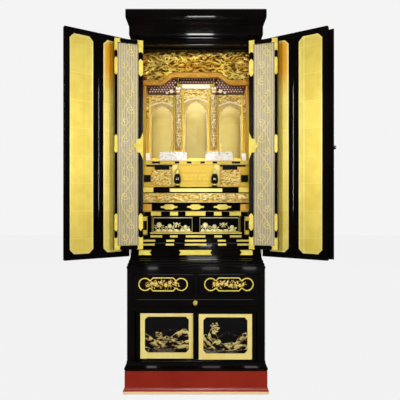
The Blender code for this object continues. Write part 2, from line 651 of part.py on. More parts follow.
def build_gauze_doors():
    for name, side in SIDES.items():
        y_hinge = at_depth(GAUZE_PIVOT_DEPTH)
        inner = pivot("gauze_pivot_" + name, side * GAUZE_PIVOT, y_hinge, side * GAUZE_OPEN)
        fold_y = GAUZE_SET + GAUZE_THICK + FOLD_PLAY
        fold = pivot("gauze_fold_pivot_" + name, -side * GAUZE_LEAF, fold_y, -side * GAUZE_FOLD, inner)
        for leaf, parent, y_out in (("inner", inner, GAUZE_SET), ("fold", fold, GAUZE_SET - fold_y)):
            start = 0.0010 if leaf == "inner" else FOLD_PLAY
            end = GAUZE_LEAF - FOLD_PLAY - (0.0 if leaf == "inner" else 0.0002)
            near, far = (FREE_STILE, FOLD_STILE) if leaf == "inner" else (FOLD_STILE, FREE_STILE)
            x_low, x_high = sorted((-side * start, -side * end))
            in_low, in_high = sorted((-side * (start + near), -side * (end - far)))
            z_low, z_high = GAUZE_LOW + GAUZE_RAIL, GAUZE_HIGH - GAUZE_RAIL
            outer = rectangle(x_low, x_high, GAUZE_LOW, GAUZE_HIGH)
            window = rectangle(in_low, in_high, z_low, z_high)
            frame = plate_mesh([outer, window], y_out, y_out + GAUZE_THICK)
            soften(piece(frame, f"gauze_frame_{name}_{leaf}", "black_lacquer", parent))
            middle = y_out + GAUZE_THICK / 2
            cloth_low = (in_low + GAP, middle - CLOTH_THICK / 2, z_low + GAP)
            cloth_high = (in_high - GAP, middle + CLOTH_THICK / 2, z_high - GAP)
            piece(box_mesh(cloth_low, cloth_high), f"gauze_{name}_{leaf}", "gauze", parent)
        face = GAUZE_SET - fold_y - GAP
        outline = half_star(-side * (GAUZE_LEAF - 0.0012), -side)
        piece(plate_mesh([outline], face - ORNAMENT_THICK, face), "ornament_" + name, "brass", fold)


def band_edge(height_side, height_crown):
    """The arched line of the transom's band, from left to right."""
    half = INTERIOR_HALF
    rise = [i / 6 for i in range(7)]
    left = []
    for t in rise:
        x = -BAND_FLAT + (BAND_FLAT - BAND_RISE_END) * t
        eased = (1 - math.cos(math.pi * t)) / 2
        left.append((x, height_side + (height_crown - height_side) * eased))
    left = [(-half, height_side)] + left
    return left + [(-x, z) for x, z in reversed(left)]


def build_transom():
    front = at_depth(TRANSOM_DEPTH)
    top = OPENING_HIGH - GAP
    lower = band_edge(BAND_SIDE + GAP, BAND_CROWN + GAP)
    outline = lower + [(INTERIOR_HALF, top), (-INTERIOR_HALF, top)]
    transom = piece(plate_mesh([outline], front, front + TRANSOM_THICK), "transom", "carved_gold")
    centres, radii = [], []
    for i in range(int(INTERIOR_HALF / CLOUD_PITCH)):
        x = CLOUD_PITCH * (i + 0.5)
        z = CLOUD_Z + (0.016 if i % 2 else -0.012)
        radius = CLOUD_RADIUS * (1.0 if i % 2 else 0.85)
        for side in SIDES.values():
            centres.append((side * x, front, z))
            radii.append(min(radius, INTERIOR_HALF - 0.002 - x))
    join(transom, *lobes(centres, radii, 0.42))
    shape = band_edge(BAND_SIDE, BAND_CROWN)
    shape += [(x, z - BAND_TALL) for x, z in reversed(shape)]
    band = plate_mesh([shape], front - 0.004, front + TRANSOM_THICK)
    piece(band, "transom_band", "gold_leaf")


def comb(x_low, x_high, y_back, y_front, teeth):
    """A row of block ends, seen from above."""
    pitch = (x_high - x_low) / (teeth * 2 - 1)
    outline = [(x_low, y_back)]
    notch = y_front + 0.006
    for i in range(teeth):
        left = x_low + 2 * pitch * i
        if i:
            outline += [(left, notch)]
        outline += [(left, y_front), (left + pitch, y_front)]
        if i < teeth - 1:
            outline += [(left + pitch, notch)]
    return outline + [(x_high, y_back)]


def build_brackets():
    """Rows of stepped block ends under the transom, each row set further back than the one above."""
    for name, side in SIDES.items():
        x_low, x_high = span(side, BRACKET_IN, BRACKET_OUT)
        back = at_depth(SHRINE_DEPTH - 0.001)
        core_low = (x_low + 0.006, at_depth(BRACKET_FRONT + 0.003), BRACKET_LOW)
        core = box_mesh(core_low, (x_high - 0.006, back, BRACKET_HIGH))
        made = piece(core, "brackets_" + name, "bracket_wood")
        for row in range(BRACKET_ROWS):
            low = BRACKET_LOW + 0.003 + row * BRACKET_RISE
            front = at_depth(BRACKET_FRONT - row * BRACKET_STEP)
            inset = 0.004 * (BRACKET_ROWS - 1 - row)
            outline = comb(x_low + inset, x_high - inset, back - 0.002, front, 6)
            # The exact solver leaves a seam open on these combs
            row_mesh = plate_mesh([outline], low, low + BRACKET_TALL, FLAT_ON_FLOOR)
            boolean(made, row_mesh, "UNION", solver="MANIFOLD")


def bay_outline(centre, half, crown):
    """An opening that runs up from the floor to a round arch with a small peak, from left to right."""
    rise = crown - BAY_PEAK - BAY_SPRING
    left = [(centre - half, SHRINE_FLOOR + BAY_SILL)]
    left += arc(centre, BAY_SPRING, half, 180, 98, 9, rise / half)
    right = [(2 * centre - x, z) for x, z in reversed(left)]
    return left + [(centre, crown)] + right


def build_shrine():
    front = at_depth(SHRINE_DEPTH)
    outer = rectangle(-SHRINE_HALF, SHRINE_HALF, SHRINE_FLOOR, SHRINE_TOP)
    board = plate_mesh([outer] + [bay_outline(*bay) for bay in BAYS], front, front + SHRINE_THICK)
    shrine = piece(board, "shrine_front", "gold_leaf")
    lintel_low = (-BRACKET_IN + 0.004, front - LINTEL_PROUD, LINTEL_LOW)
    join(shrine, box_mesh(lintel_low, (BRACKET_IN - 0.004, front + 0.002, LINTEL_HIGH)))
    for x in COLUMN_X:
        for side in SIDES.values():
            form = bmesh.new()
            height = BRACKET_LOW - 0.006 - SHRINE_FLOOR
            place = Matrix.Translation((side * x, front - 0.001, SHRINE_FLOOR + height / 2))
            bmesh.ops.create_cone(
                form, cap_ends=True, segments=8, radius1=COLUMN_RADIUS, radius2=COLUMN_RADIUS, depth=height, matrix=place
            )
            join(shrine, mesh_of(form, "column"))
    build_carved_columns(front)
    build_column_bases(front)


def build_carved_columns(front):
    """Knotted columns in front of the piers, as bulges round a core."""
    radius = CARVED_COLUMN_RADIUS
    bulges = 6
    height = CARVED_COLUMN_HIGH - CARVED_COLUMN_LOW
    profile = [(0.0, CARVED_COLUMN_HIGH)]
    for i in range(bulges):
        top = CARVED_COLUMN_HIGH - height * i / bulges
        step = height / bulges
        swell = radius * (1.0 if i % 2 == 0 else 0.86)
        profile += [(radius * 0.55, top), (swell, top - step * 0.32), (swell * 0.94, top - step * 0.62)]
    profile += [(radius * 0.6, CARVED_COLUMN_LOW), (0.0, CARVED_COLUMN_LOW)]
    for name, side in SIDES.items():
        column = turned(profile, 10, "carved_column_" + name, "carved_gold")
        column.location = (side * CARVED_COLUMN_X, front - radius - GAP, 0)


def build_column_bases(front):
    """Low carved bases of rounded lobes under the knotted columns."""
    for name, side in SIDES.items():
        x_low, x_high = span(side, BASE_IN, BASE_OUT)
        back = front - COLUMN_RADIUS - 0.0016
        low, high = SHRINE_FLOOR, SHRINE_FLOOR + BASE_TALL * 0.55
        base = piece(box_mesh((x_low, back - 0.012, low), (x_high, back, high)), "column_base_" + name, "carved_white")
        count = 5
        pitch = (x_high - x_low - 0.024) / (count - 1)
        centres, radii = [], []
        for i in range(count):
            lift = 0.026 if i % 2 else 0.020
            centres.append((x_low + 0.012 + pitch * i, back - 0.006, low + lift))
            radii.append(0.0165 if i % 2 else 0.0135)
        blobs = lobes(centres, radii, 0.62)
        join(base, *blobs)
        trim = box_mesh((x_low - 0.05, back, low - 0.05), (x_high + 0.05, back + 0.05, high + 0.05))
        cut(base, trim)
        cut(base, box_mesh((x_low - 0.05, back - 0.05, low - 0.05), (x_high + 0.05, back + 0.05, low)))


def tier(name, finish, front, low, high, wall=TIER_WALL):
    """One level of the altar: a top board, a front and two ends, open below and behind."""
    made = piece(slab(INTERIOR_HALF, front, TIER_BACK, low, high), name, finish)
    cut(made, slab(INTERIOR_HALF - wall, front + wall, TIER_BACK + 0.01, low - 0.01, high - wall))
    return made


def build_altar():
    platform = tier("altar_platform", "gold_leaf", PLATFORM_DEPTH, PLATFORM_LOW, PLATFORM_TOP)
    front, root = PLATFORM_DEPTH, PLATFORM_DEPTH + 0.004
    field_low, field_high = PLATFORM_LOW + 0.0056, PLATFORM_TOP - 0.0150
    rail = slab(INTERIOR_HALF, front - 0.010, root, PLATFORM_TOP - 0.0170, PLATFORM_TOP)
    foot = slab(INTERIOR_HALF, front - 0.006, root, PLATFORM_LOW, PLATFORM_LOW + 0.0086)
    middle = slab(0.076, front - 0.007, root, field_low, field_high)
    join(platform, rail, foot, middle)
    for side in SIDES.values():
        join(platform, side_box(side, 0.116, 0.206, front - 0.005, root, field_low, PLATFORM_TOP - 0.042))
    ledge = tier("altar_ledge", "black_lacquer", LEDGE_DEPTH, LEDGE_LOW, PLATFORM_LOW - GAP, TIER_BOARD)
    join(ledge, slab(0.120, LEDGE_DEPTH - 0.004, LEDGE_DEPTH + 0.004, LEDGE_LOW + 0.004, PLATFORM_LOW - 0.006))
    band = tier("altar_band", "carved_gold", BAND_DEPTH, BAND_LOW, LEDGE_LOW - GAP, TIER_BOARD)
    count = 11
    pitch = 2 * (INTERIOR_HALF - 0.024) / (count - 1)
    middle_z = (BAND_LOW + LEDGE_LOW) / 2
    centres = [(-INTERIOR_HALF + 0.024 + pitch * i, at_depth(BAND_DEPTH), middle_z) for i in range(count)]
    join(band, *lobes(centres, [0.0175] * count, 0.34, 8, 4))
    waist = tier("altar_waist", "black_lacquer", WAIST_DEPTH + 0.008, WAIST_LOW, BAND_LOW - GAP, TIER_BOARD)
    join(waist, slab(INTERIOR_HALF, WAIST_DEPTH, WAIST_DEPTH + 0.012, WAIST_LOW, WAIST_LOW + 0.022))
    join(waist, slab(INTERIOR_HALF, WAIST_DEPTH + 0.002, WAIST_DEPTH + 0.012, BAND_LOW - 0.0085, BAND_LOW - GAP))
    build_altar_base()
    build_newels()


def build_altar_base():
    low, high = INNER_FLOOR + GAP, WAIST_LOW - GAP
    base = piece(slab(INTERIOR_HALF, BASE_DEPTH, TIER_BACK, low, high), "altar_base", "black_lacquer")
    for name, side in SIDES.items():
        hole = (side, INNER_DRAWER_IN - RUN, INNER_DRAWER_OUT + RUN, BASE_DEPTH - 0.01)
        hole += (BASE_DEPTH + INNER_DRAWER_DEEP + 0.002, INNER_DRAWER_LOW - RUN, INNER_DRAWER_HIGH + RUN)
        cut(base, side_box(*hole))
        x_low, x_high = span(side, INNER_DRAWER_IN, INNER_DRAWER_OUT)
        front = BASE_DEPTH - FACE_PROUD
        back = BASE_DEPTH + INNER_DRAWER_DEEP
        drawer("inner_drawer_" + name, x_low, x_high, front, back, INNER_DRAWER_LOW, INNER_DRAWER_HIGH, INNER_BOARD)
    profile = [(at_depth(STEP_FRONT), low)]
    last = len(STEP_TOPS) - 1
    for i, rise in enumerate(STEP_TOPS):
        depth = STEP_FRONT + STEP_TREAD * i
        end = BASE_DEPTH - GAP if i == last else depth + STEP_TREAD
        profile += [(at_depth(depth), INNER_FLOOR + rise), (at_depth(end), INNER_FLOOR + rise)]
    profile.append((at_depth(BASE_DEPTH - GAP), low))
    steps = plate_mesh([profile], -INTERIOR_HALF, INTERIOR_HALF, SIDE_ON)
    soften(piece(steps, "altar_steps", "black_lacquer"))


def build_newels():
    foot = PLATFORM_LOW
    radius = NEWEL_RADIUS
    profile = ((0.0, 0.074), (0.0030, 0.070), (0.0065, 0.062), (radius * 0.85, 0.054), (radius, 0.045))
    profile += ((radius * 0.86, 0.036), (0.0080, 0.030), (0.0125, 0.0270), (0.0125, 0.0230), (0.0085, 0.0200))
    profile += ((0.0085, 0.0060), (0.0130, 0.0030), (0.0130, 0.0), (0.0, 0.0))
    for name, side in SIDES.items():
        newel = turned(profile, 14, "newel_" + name, "black_lacquer")
        newel.location = (side * NEWEL_X, at_depth(NEWEL_DEPTH), foot)


def main():
    clear_scene()
    collection("altar_cabinet")
    collection("guides")
    build_plinth()
    build_base_moulding()
    build_lower_case()
    build_lower_drawers()
    build_tray()
    build_sliding_doors()
    build_waist_moulding()
    build_upper_case()
    build_cornice()
    build_outer_doors()
    build_gauze_doors()
    build_transom()
    build_brackets()
    build_shrine()
    build_altar()


main()
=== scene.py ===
"""The looks of a household altar cabinet: lacquer, gold leaf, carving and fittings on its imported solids.

Metres, +Z up, the front towards -Y. A depth is counted back from the front frame of the upper case.
A face is a matrix: x runs along the face, y goes into it, z runs up it, so what stands out has y below zero.
"""

from __future__ import annotations

import logging
import math
from collections.abc import Iterable, Sequence
from dataclasses import dataclass, field
from enum import Enum

import bpy
import numpy as np
from mathutils import Matrix, Vector


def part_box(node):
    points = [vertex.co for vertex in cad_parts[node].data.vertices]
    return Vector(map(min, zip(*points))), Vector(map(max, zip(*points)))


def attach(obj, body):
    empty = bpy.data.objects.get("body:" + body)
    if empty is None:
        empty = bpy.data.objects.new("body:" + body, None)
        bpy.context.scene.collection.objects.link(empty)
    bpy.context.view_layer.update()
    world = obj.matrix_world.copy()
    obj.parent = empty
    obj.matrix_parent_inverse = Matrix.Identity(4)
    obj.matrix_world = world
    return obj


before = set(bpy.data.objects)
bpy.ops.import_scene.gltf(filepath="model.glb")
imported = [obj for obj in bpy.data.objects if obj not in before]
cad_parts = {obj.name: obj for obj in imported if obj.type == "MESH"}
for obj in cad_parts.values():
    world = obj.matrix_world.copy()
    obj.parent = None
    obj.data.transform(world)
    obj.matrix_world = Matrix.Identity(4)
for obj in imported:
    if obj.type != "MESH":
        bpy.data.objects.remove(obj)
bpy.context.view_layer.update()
LOG = logging.getLogger("altar_cabinet")
SIDES = {"left": -1, "right": 1}
RIDGE = 0.72  # the height in a carving that a plain piece is coloured as
FRONT_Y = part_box("upper_case")[0].y
Colour = tuple[float, float, float, float]
Outline = list[tuple[float, float]]
Span = tuple[float, float]
Spot = tuple[float, float, float]
Tree = bpy.types.NodeTree
Node = bpy.types.Node
Socket = bpy.types.NodeSocket


def linear(code: str) -> Colour:
    """Turns an sRGB hex colour into the linear one that a shader takes.

    Args:
        code: six hex digits with a leading hash.

    Returns:
        Red, green, blue and an alpha of one.
    """
    parts = [int(code[i : i + 2], 16) / 255 for i in (1, 3, 5)]
    return tuple(p / 12.92 if p <= 0.04045 else ((p + 0.055) / 1.055) ** 2.4 for p in parts) + (1.0,)


def feed(node: Node, links: dict) -> None:
    """Feeds a node's inputs.

    Args:
        node: the node.
        links: inputs by name or number, with the socket that feeds each, or a node for its first output.
    """
    for key, source in links.items():
        socket = source.outputs[0] if isinstance(source, Node) else source
        node.id_data.links.new(socket, node.inputs[key])


def add(tree: Tree, kind: str, settings: dict | None = None, links: dict | None = None) -> Node:
    """Adds one node with its settings and links.

    Args:
        tree: the node tree that gets the node.
        kind: the node's Blender type, without the word ShaderNode.
        settings: attributes in small letters, inputs by name or number, or a ramp's stops, with their values.
        links: what feeds its inputs.

    Returns:
        The new node.
    """
    node = tree.nodes.new("ShaderNode" + kind)
    for key, value in (settings or {}).items():
        if key == "stops":
            elements = node.color_ramp.elements
            while len(elements) < len(value):
                elements.new(0.5)
            for element, (spot, code) in zip(elements, value):
                element.position = spot
                element.color = linear(code)
        elif isinstance(key, str) and hasattr(node, key):
            setattr(node, key, value)
        else:
            node.inputs[key].default_value = value
    feed(node, links or {})
    return node


# Finishes


@dataclass(frozen=True)
class Finish:
    """What every finish has: its name, how much of a metal it is, and other settings that hold all over."""

    name: str
    metallic: float = 0.0
    sheen: dict = field(default_factory=dict, kw_only=True)

    def make(self) -> bpy.types.Material:
        """Builds the material.

        Returns:
            The material.
        """
        made = bpy.data.materials.new(self.name)
        made.use_nodes = True
        tree = made.node_tree
        shader = tree.nodes["Principled BSDF"]
        for key, value in {"Metallic": self.metallic, **self.sheen}.items():
            shader.inputs[key].default_value = value
        feed(shader, self.paint(tree, add(tree, "TexCoord").outputs["Object"]))
        return made

    def paint(self, tree: Tree, place: Socket) -> dict:
        """Adds the finish's own nodes and returns what feeds the shader, which here is nothing."""
        return {}


@dataclass(frozen=True)
class PolishedUrushi(Finish):
    """Urushi lacquer on wood, brushed in coats and polished: deep colour under a clear mirror gloss."""

    deep: str = "#050404"
    warm: str = "#0C0807"
    rough_low: float = 0.04
    rough_high: float = 0.09
    ripple: float = 0.00002
    cloud: float = 0.12
    swirl: float = 0.009
    wave: float = 0.035

    def paint(self, tree: Tree, place: Socket) -> dict:
        """Adds clouds of colour, faint polishing swirls and the slight waves of hand-flatted lacquer.

        Args:
            tree: the material's node tree.
            place: the point on the piece.

        Returns:
            What feeds the shader.
        """
        clouds, swirls, waves = (
            add(tree, "TexNoise", {"Scale": 1 / size, "Detail": detail}, {"Vector": place})
            for size, detail in ((self.cloud, 3.0), (self.swirl, 6.0), (self.wave, 1.0))
        )
        stops = [(0.3, self.deep), (0.7, self.warm)]
        shine = {"To Min": self.rough_low, "To Max": self.rough_high}
        return {
            "Base Color": add(tree, "ValToRGB", {"stops": stops}, {"Fac": clouds}),
            "Roughness": add(tree, "MapRange", shine, {"Value": swirls}),
            "Normal": add(tree, "Bump", {"Distance": self.ripple}, {"Height": waves}),
        }


@dataclass(frozen=True)
class GoldLeaf(Finish):
    """Gold leaf laid in squares of about 109 mm: each square a little apart in tone, the laps just seen.

    Its crinkles are under 1 mm apart in reality, and are drawn at 3 mm so that they still show.
    """

    bright: str = "#EBD868"
    dull: str = "#D9BE4C"
    lap: str = "#F4E88E"
    square: float = 0.109
    # A top colour and the heights where it sets in and is full: painted shade or painted light where a look
    # sets them; the default heights lie above the cabinet.
    top_tone: str = "#C47410"
    top_tone_from: float = 9.0
    top_tone_full: float = 10.0
    lap_width: float = 0.0011
    crumple: float = 0.045
    wear: float = 0.02
    crinkle: float = 0.003
    crinkle_depth: float = 0.00006

    def paint(self, tree: Tree, place: Socket) -> dict:
        """Adds leaf squares with their laps, crumpled tone inside each, a fine crinkle, and a blend into a
        top colour above a set height.

        Args:
            tree: the material's node tree.
            place: the point on the piece.

        Returns:
            What feeds the shader.
        """
        parts = add(tree, "SeparateXYZ", links={"Vector": place})
        across = add(tree, "Math", {"operation": "ADD"}, {0: parts.outputs["X"], 1: parts.outputs["Y"]})
        flat = add(tree, "CombineXYZ", links={"X": across, "Y": parts.outputs["Z"]})
        grid = {"offset": 0.0, "squash": 1.0, "Scale": 1.0, "Bias": 0.0, "Mortar Smooth": 0.4}
        grid |= {"Mortar Size": self.lap_width, "Brick Width": self.square, "Row Height": self.square}
        grid |= {"Color1": linear(self.bright), "Color2": linear(self.dull), "Mortar": linear(self.lap)}
        leaves = add(tree, "TexBrick", grid, {"Vector": flat})
        crumpled, worn, crinkled = (
            add(tree, "TexNoise", {"Scale": 1 / size, "Detail": detail}, {"Vector": place})
            for size, detail in ((self.crumple, 5.0), (self.wear, 4.0), (self.crinkle, 2.0))
        )
        tone = add(tree, "ValToRGB", {"stops": [(0.35, self.dull), (0.65, self.bright)]}, {"Fac": crumpled})
        mixed = add(tree, "Mix", {"data_type": "RGBA", "Factor": 0.5}, {6: leaves, 7: tone})
        # Above a set height the leaf blends into the top colour: painted shade on the side walls, painted
        # light on the back board, plain darker orange on the inner door panels.
        limits = {"From Min": self.top_tone_from, "From Max": self.top_tone_full}
        limits["interpolation_type"] = "SMOOTHSTEP"
        top_tone_share = add(tree, "MapRange", limits, {"Value": parts.outputs["Z"]})
        toned = {"data_type": "RGBA", 7: linear(self.top_tone)}
        toned_colour = add(tree, "Mix", toned, {0: top_tone_share, 6: mixed.outputs[2]})
        relief = {"Distance": self.crinkle_depth}
        return {
            "Base Color": toned_colour.outputs[2],
            "Roughness": add(tree, "MapRange", {"To Min": 0.30, "To Max": 0.46}, {"Value": worn}),
            "Normal": add(tree, "Bump", relief, {"Height": crinkled}),
        }


@dataclass(frozen=True)
class CarvedGilt(Finish):
    """Carved wood under gold leaf, coloured by the carving's height: deep orange-brown painted shade in the
    hollows, bright ridges, painted highlight on the crests.
    """

    hollow: str = "#5A2A06"
    side: str = "#C0820E"
    ridge: str = "#E8CC50"
    crest: str = "#FBF0A4"
    tear: float = 0.004
    chisel: float = 0.0022
    chisel_depth: float = 0.00025

    def paint(self, tree: Tree, place: Socket) -> dict:
        """Adds colour from the carving's own height, painted shade low and painted highlight high, broken up
        by the chisel and the leaf's tears.

        Args:
            tree: the material's node tree.
            place: the point on the piece.

        Returns:
            What feeds the shader.
        """
        height = add(tree, "Attribute", {"attribute_name": "carve"}).outputs["Fac"]
        tears, marks = (
            add(tree, "TexNoise", {"Scale": 1 / size, "Detail": detail}, {"Vector": place})
            for size, detail in ((self.tear, 4.0), (self.chisel, 3.0))
        )
        shift = add(tree, "MapRange", {"To Min": -0.16, "To Max": 0.16}, {"Value": tears})
        level = add(tree, "Math", {"operation": "ADD", "use_clamp": True}, {0: height, 1: shift})
        stops = [(0.04, self.hollow), (0.26, self.side), (0.58, self.ridge), (0.95, self.crest)]
        return {
            "Base Color": add(tree, "ValToRGB", {"stops": stops}, {"Fac": level}),
            "Roughness": add(tree, "MapRange", {"To Min": 0.52, "To Max": 0.28}, {"Value": level}),
            "Normal": add(tree, "Bump", {"Distance": self.chisel_depth}, {"Height": marks}),
        }


@dataclass(frozen=True)
class GiltBrass(Finish):
    """Gilt brass sheet, chased with a ring punch: yellow metal with a close ground of raised dots.

    The real dots are under 1 mm apart, and are drawn twice as coarse so that they show.
    """

    face: str = "#EBDD62"
    ground: str = "#C9AE34"
    dots: float = 0.0022
    patina: float = 0.02

    def paint(self, tree: Tree, place: Socket) -> dict:
        """Adds punched dots under a patchy patina.

        Args:
            tree: the material's node tree.
            place: the point on the piece.

        Returns:
            What feeds the shader.
        """
        cells = add(tree, "TexVoronoi", {"Scale": 1 / self.dots, "Randomness": 0.35}, {"Vector": place})
        tone = add(tree, "ValToRGB", {"stops": [(0.15, self.face), (0.75, self.ground)]}, {"Fac": cells})
        patches = add(tree, "TexNoise", {"Scale": 1 / self.patina, "Detail": 3.0}, {"Vector": place})
        toned_colour = add(tree, "ValToRGB", {"stops": [(0.3, "#D8C04A"), (0.7, "#F2E678")]}, {"Fac": patches})
        mixed = add(tree, "Mix", {"data_type": "RGBA", "Factor": 0.45}, {6: tone, 7: toned_colour})
        return {
            "Base Color": mixed.outputs[2],
            "Normal": add(tree, "Bump", {"Strength": 0.6, "Distance": -0.00012}, {"Height": cells}),
        }


@dataclass(frozen=True)
class RibbedGauze(Finish):
    """Stiff silk gauze in the leaf frames: fine upright ribs, greyish and a little uneven.

    The real threads lie 0.5 mm apart, and are drawn far coarser so that they show.
    """

    thread: str = "#A3956F"
    hole: str = "#5E5438"
    lit: str = "#BCAF90"
    rib: float = 0.0092
    stain: float = 0.09

    def paint(self, tree: Tree, place: Socket) -> dict:
        """Adds upright ribs, crossed by a faint weft, and soft stains.

        Args:
            tree: the material's node tree.
            place: the point on the piece.

        Returns:
            What feeds the shader.
        """
        parts = add(tree, "SeparateXYZ", links={"Vector": place})
        across = add(tree, "Math", {"operation": "ABSOLUTE"}, {0: parts.outputs["X"]})
        flat = add(tree, "CombineXYZ", links={"X": across})
        ribs = {"wave_type": "BANDS", "bands_direction": "X", "Scale": 0.314 / self.rib, "Distortion": 0.0}
        warp = add(tree, "TexWave", ribs, {"Vector": flat}).outputs["Fac"]
        cross = add(tree, "Mapping", {"Scale": (60.0, 60.0, 500.0)}, {"Vector": place})
        weft = add(tree, "TexNoise", {"Scale": 1.0, "Detail": 2.0}, {"Vector": cross})
        weave = add(tree, "Math", {"operation": "MULTIPLY_ADD", 1: 0.75}, {0: warp, 2: weft})
        stops = [(0.35, self.hole), (0.80, self.thread), (1.0, self.lit)]
        tone = add(tree, "ValToRGB", {"stops": stops}, {"Fac": weave})
        stains = add(tree, "TexNoise", {"Scale": 1 / self.stain, "Detail": 3.0}, {"Vector": place})
        cast = add(tree, "ValToRGB", {"stops": [(0.3, "#A69A58"), (0.7, "#BFAE96")]}, {"Fac": stains})
        dyed = add(tree, "Mix", {"data_type": "RGBA", "Factor": 0.35}, {6: tone, 7: cast})
        return {
            "Base Color": dyed.outputs[2],
            "Normal": add(tree, "Bump", {"Strength": 0.5, "Distance": 0.0003}, {"Height": weave}),
        }


@dataclass(frozen=True)
class PaintedWood(Finish):
    """Colour-washed carved wood: matt, in random blotches darker and paler, with a fine tooth."""

    dark: str = "#2A0C04"
    light: str = "#6A2410"
    grain: float = 0.006
    tooth: float = 0.0018

    def paint(self, tree: Tree, place: Socket) -> dict:
        """Adds blotches at the size of a brush dab, with a fine tooth.

        Args:
            tree: the material's node tree.
            place: the point on the piece.

        Returns:
            What feeds the shader.
        """
        blotches, teeth = (
            add(tree, "TexNoise", {"Scale": 1 / size, "Detail": detail}, {"Vector": place})
            for size, detail in ((self.grain, 4.0), (self.tooth, 2.0))
        )
        stops = [(0.32, self.dark), (0.68, self.light)]
        return {
            "Base Color": add(tree, "ValToRGB", {"stops": stops}, {"Fac": blotches}),
            "Normal": add(tree, "Bump", {"Distance": 0.0001}, {"Height": teeth}),
        }


@dataclass(frozen=True)
class SprinkledGold(Finish):
    """Gold powder sprinkled on wet black lacquer: thick on the motif, thinning out to loose specks.

    The real grains are far finer, and are drawn at 0.8 mm so that they show.
    """

    ground: str = "#060405"
    powder: str = "#F2DE8A"
    shade: str = "#9A6A2C"
    speck: float = 0.0016

    def paint(self, tree: Tree, place: Socket) -> dict:
        """Adds powder where the carve value beats a fine speckle.

        Args:
            tree: the material's node tree.
            place: the point on the piece.

        Returns:
            What feeds the shader.
        """
        cover = add(tree, "Attribute", {"attribute_name": "carve"}).outputs["Fac"]
        specks = add(tree, "TexNoise", {"Scale": 1 / self.speck, "Detail": 3.0}, {"Vector": place})
        lift = add(tree, "Math", {"operation": "SUBTRACT"}, {0: cover, 1: specks})
        edge = add(tree, "MapRange", {"From Min": -0.06, "From Max": 0.08}, {"Value": lift})
        gold = add(tree, "ValToRGB", {"stops": [(0.45, self.shade), (0.85, self.powder)]}, {"Fac": cover})
        lacquer = {"data_type": "RGBA", 6: linear(self.ground)}
        return {
            "Base Color": add(tree, "Mix", lacquer, {0: edge, 7: gold}).outputs[2],
            "Metallic": add(tree, "Math", {"operation": "MULTIPLY", 1: 0.75}, {0: edge}),
            "Roughness": add(tree, "MapRange", {"To Min": 0.26, "To Max": 0.46}, {"Value": edge}),
        }

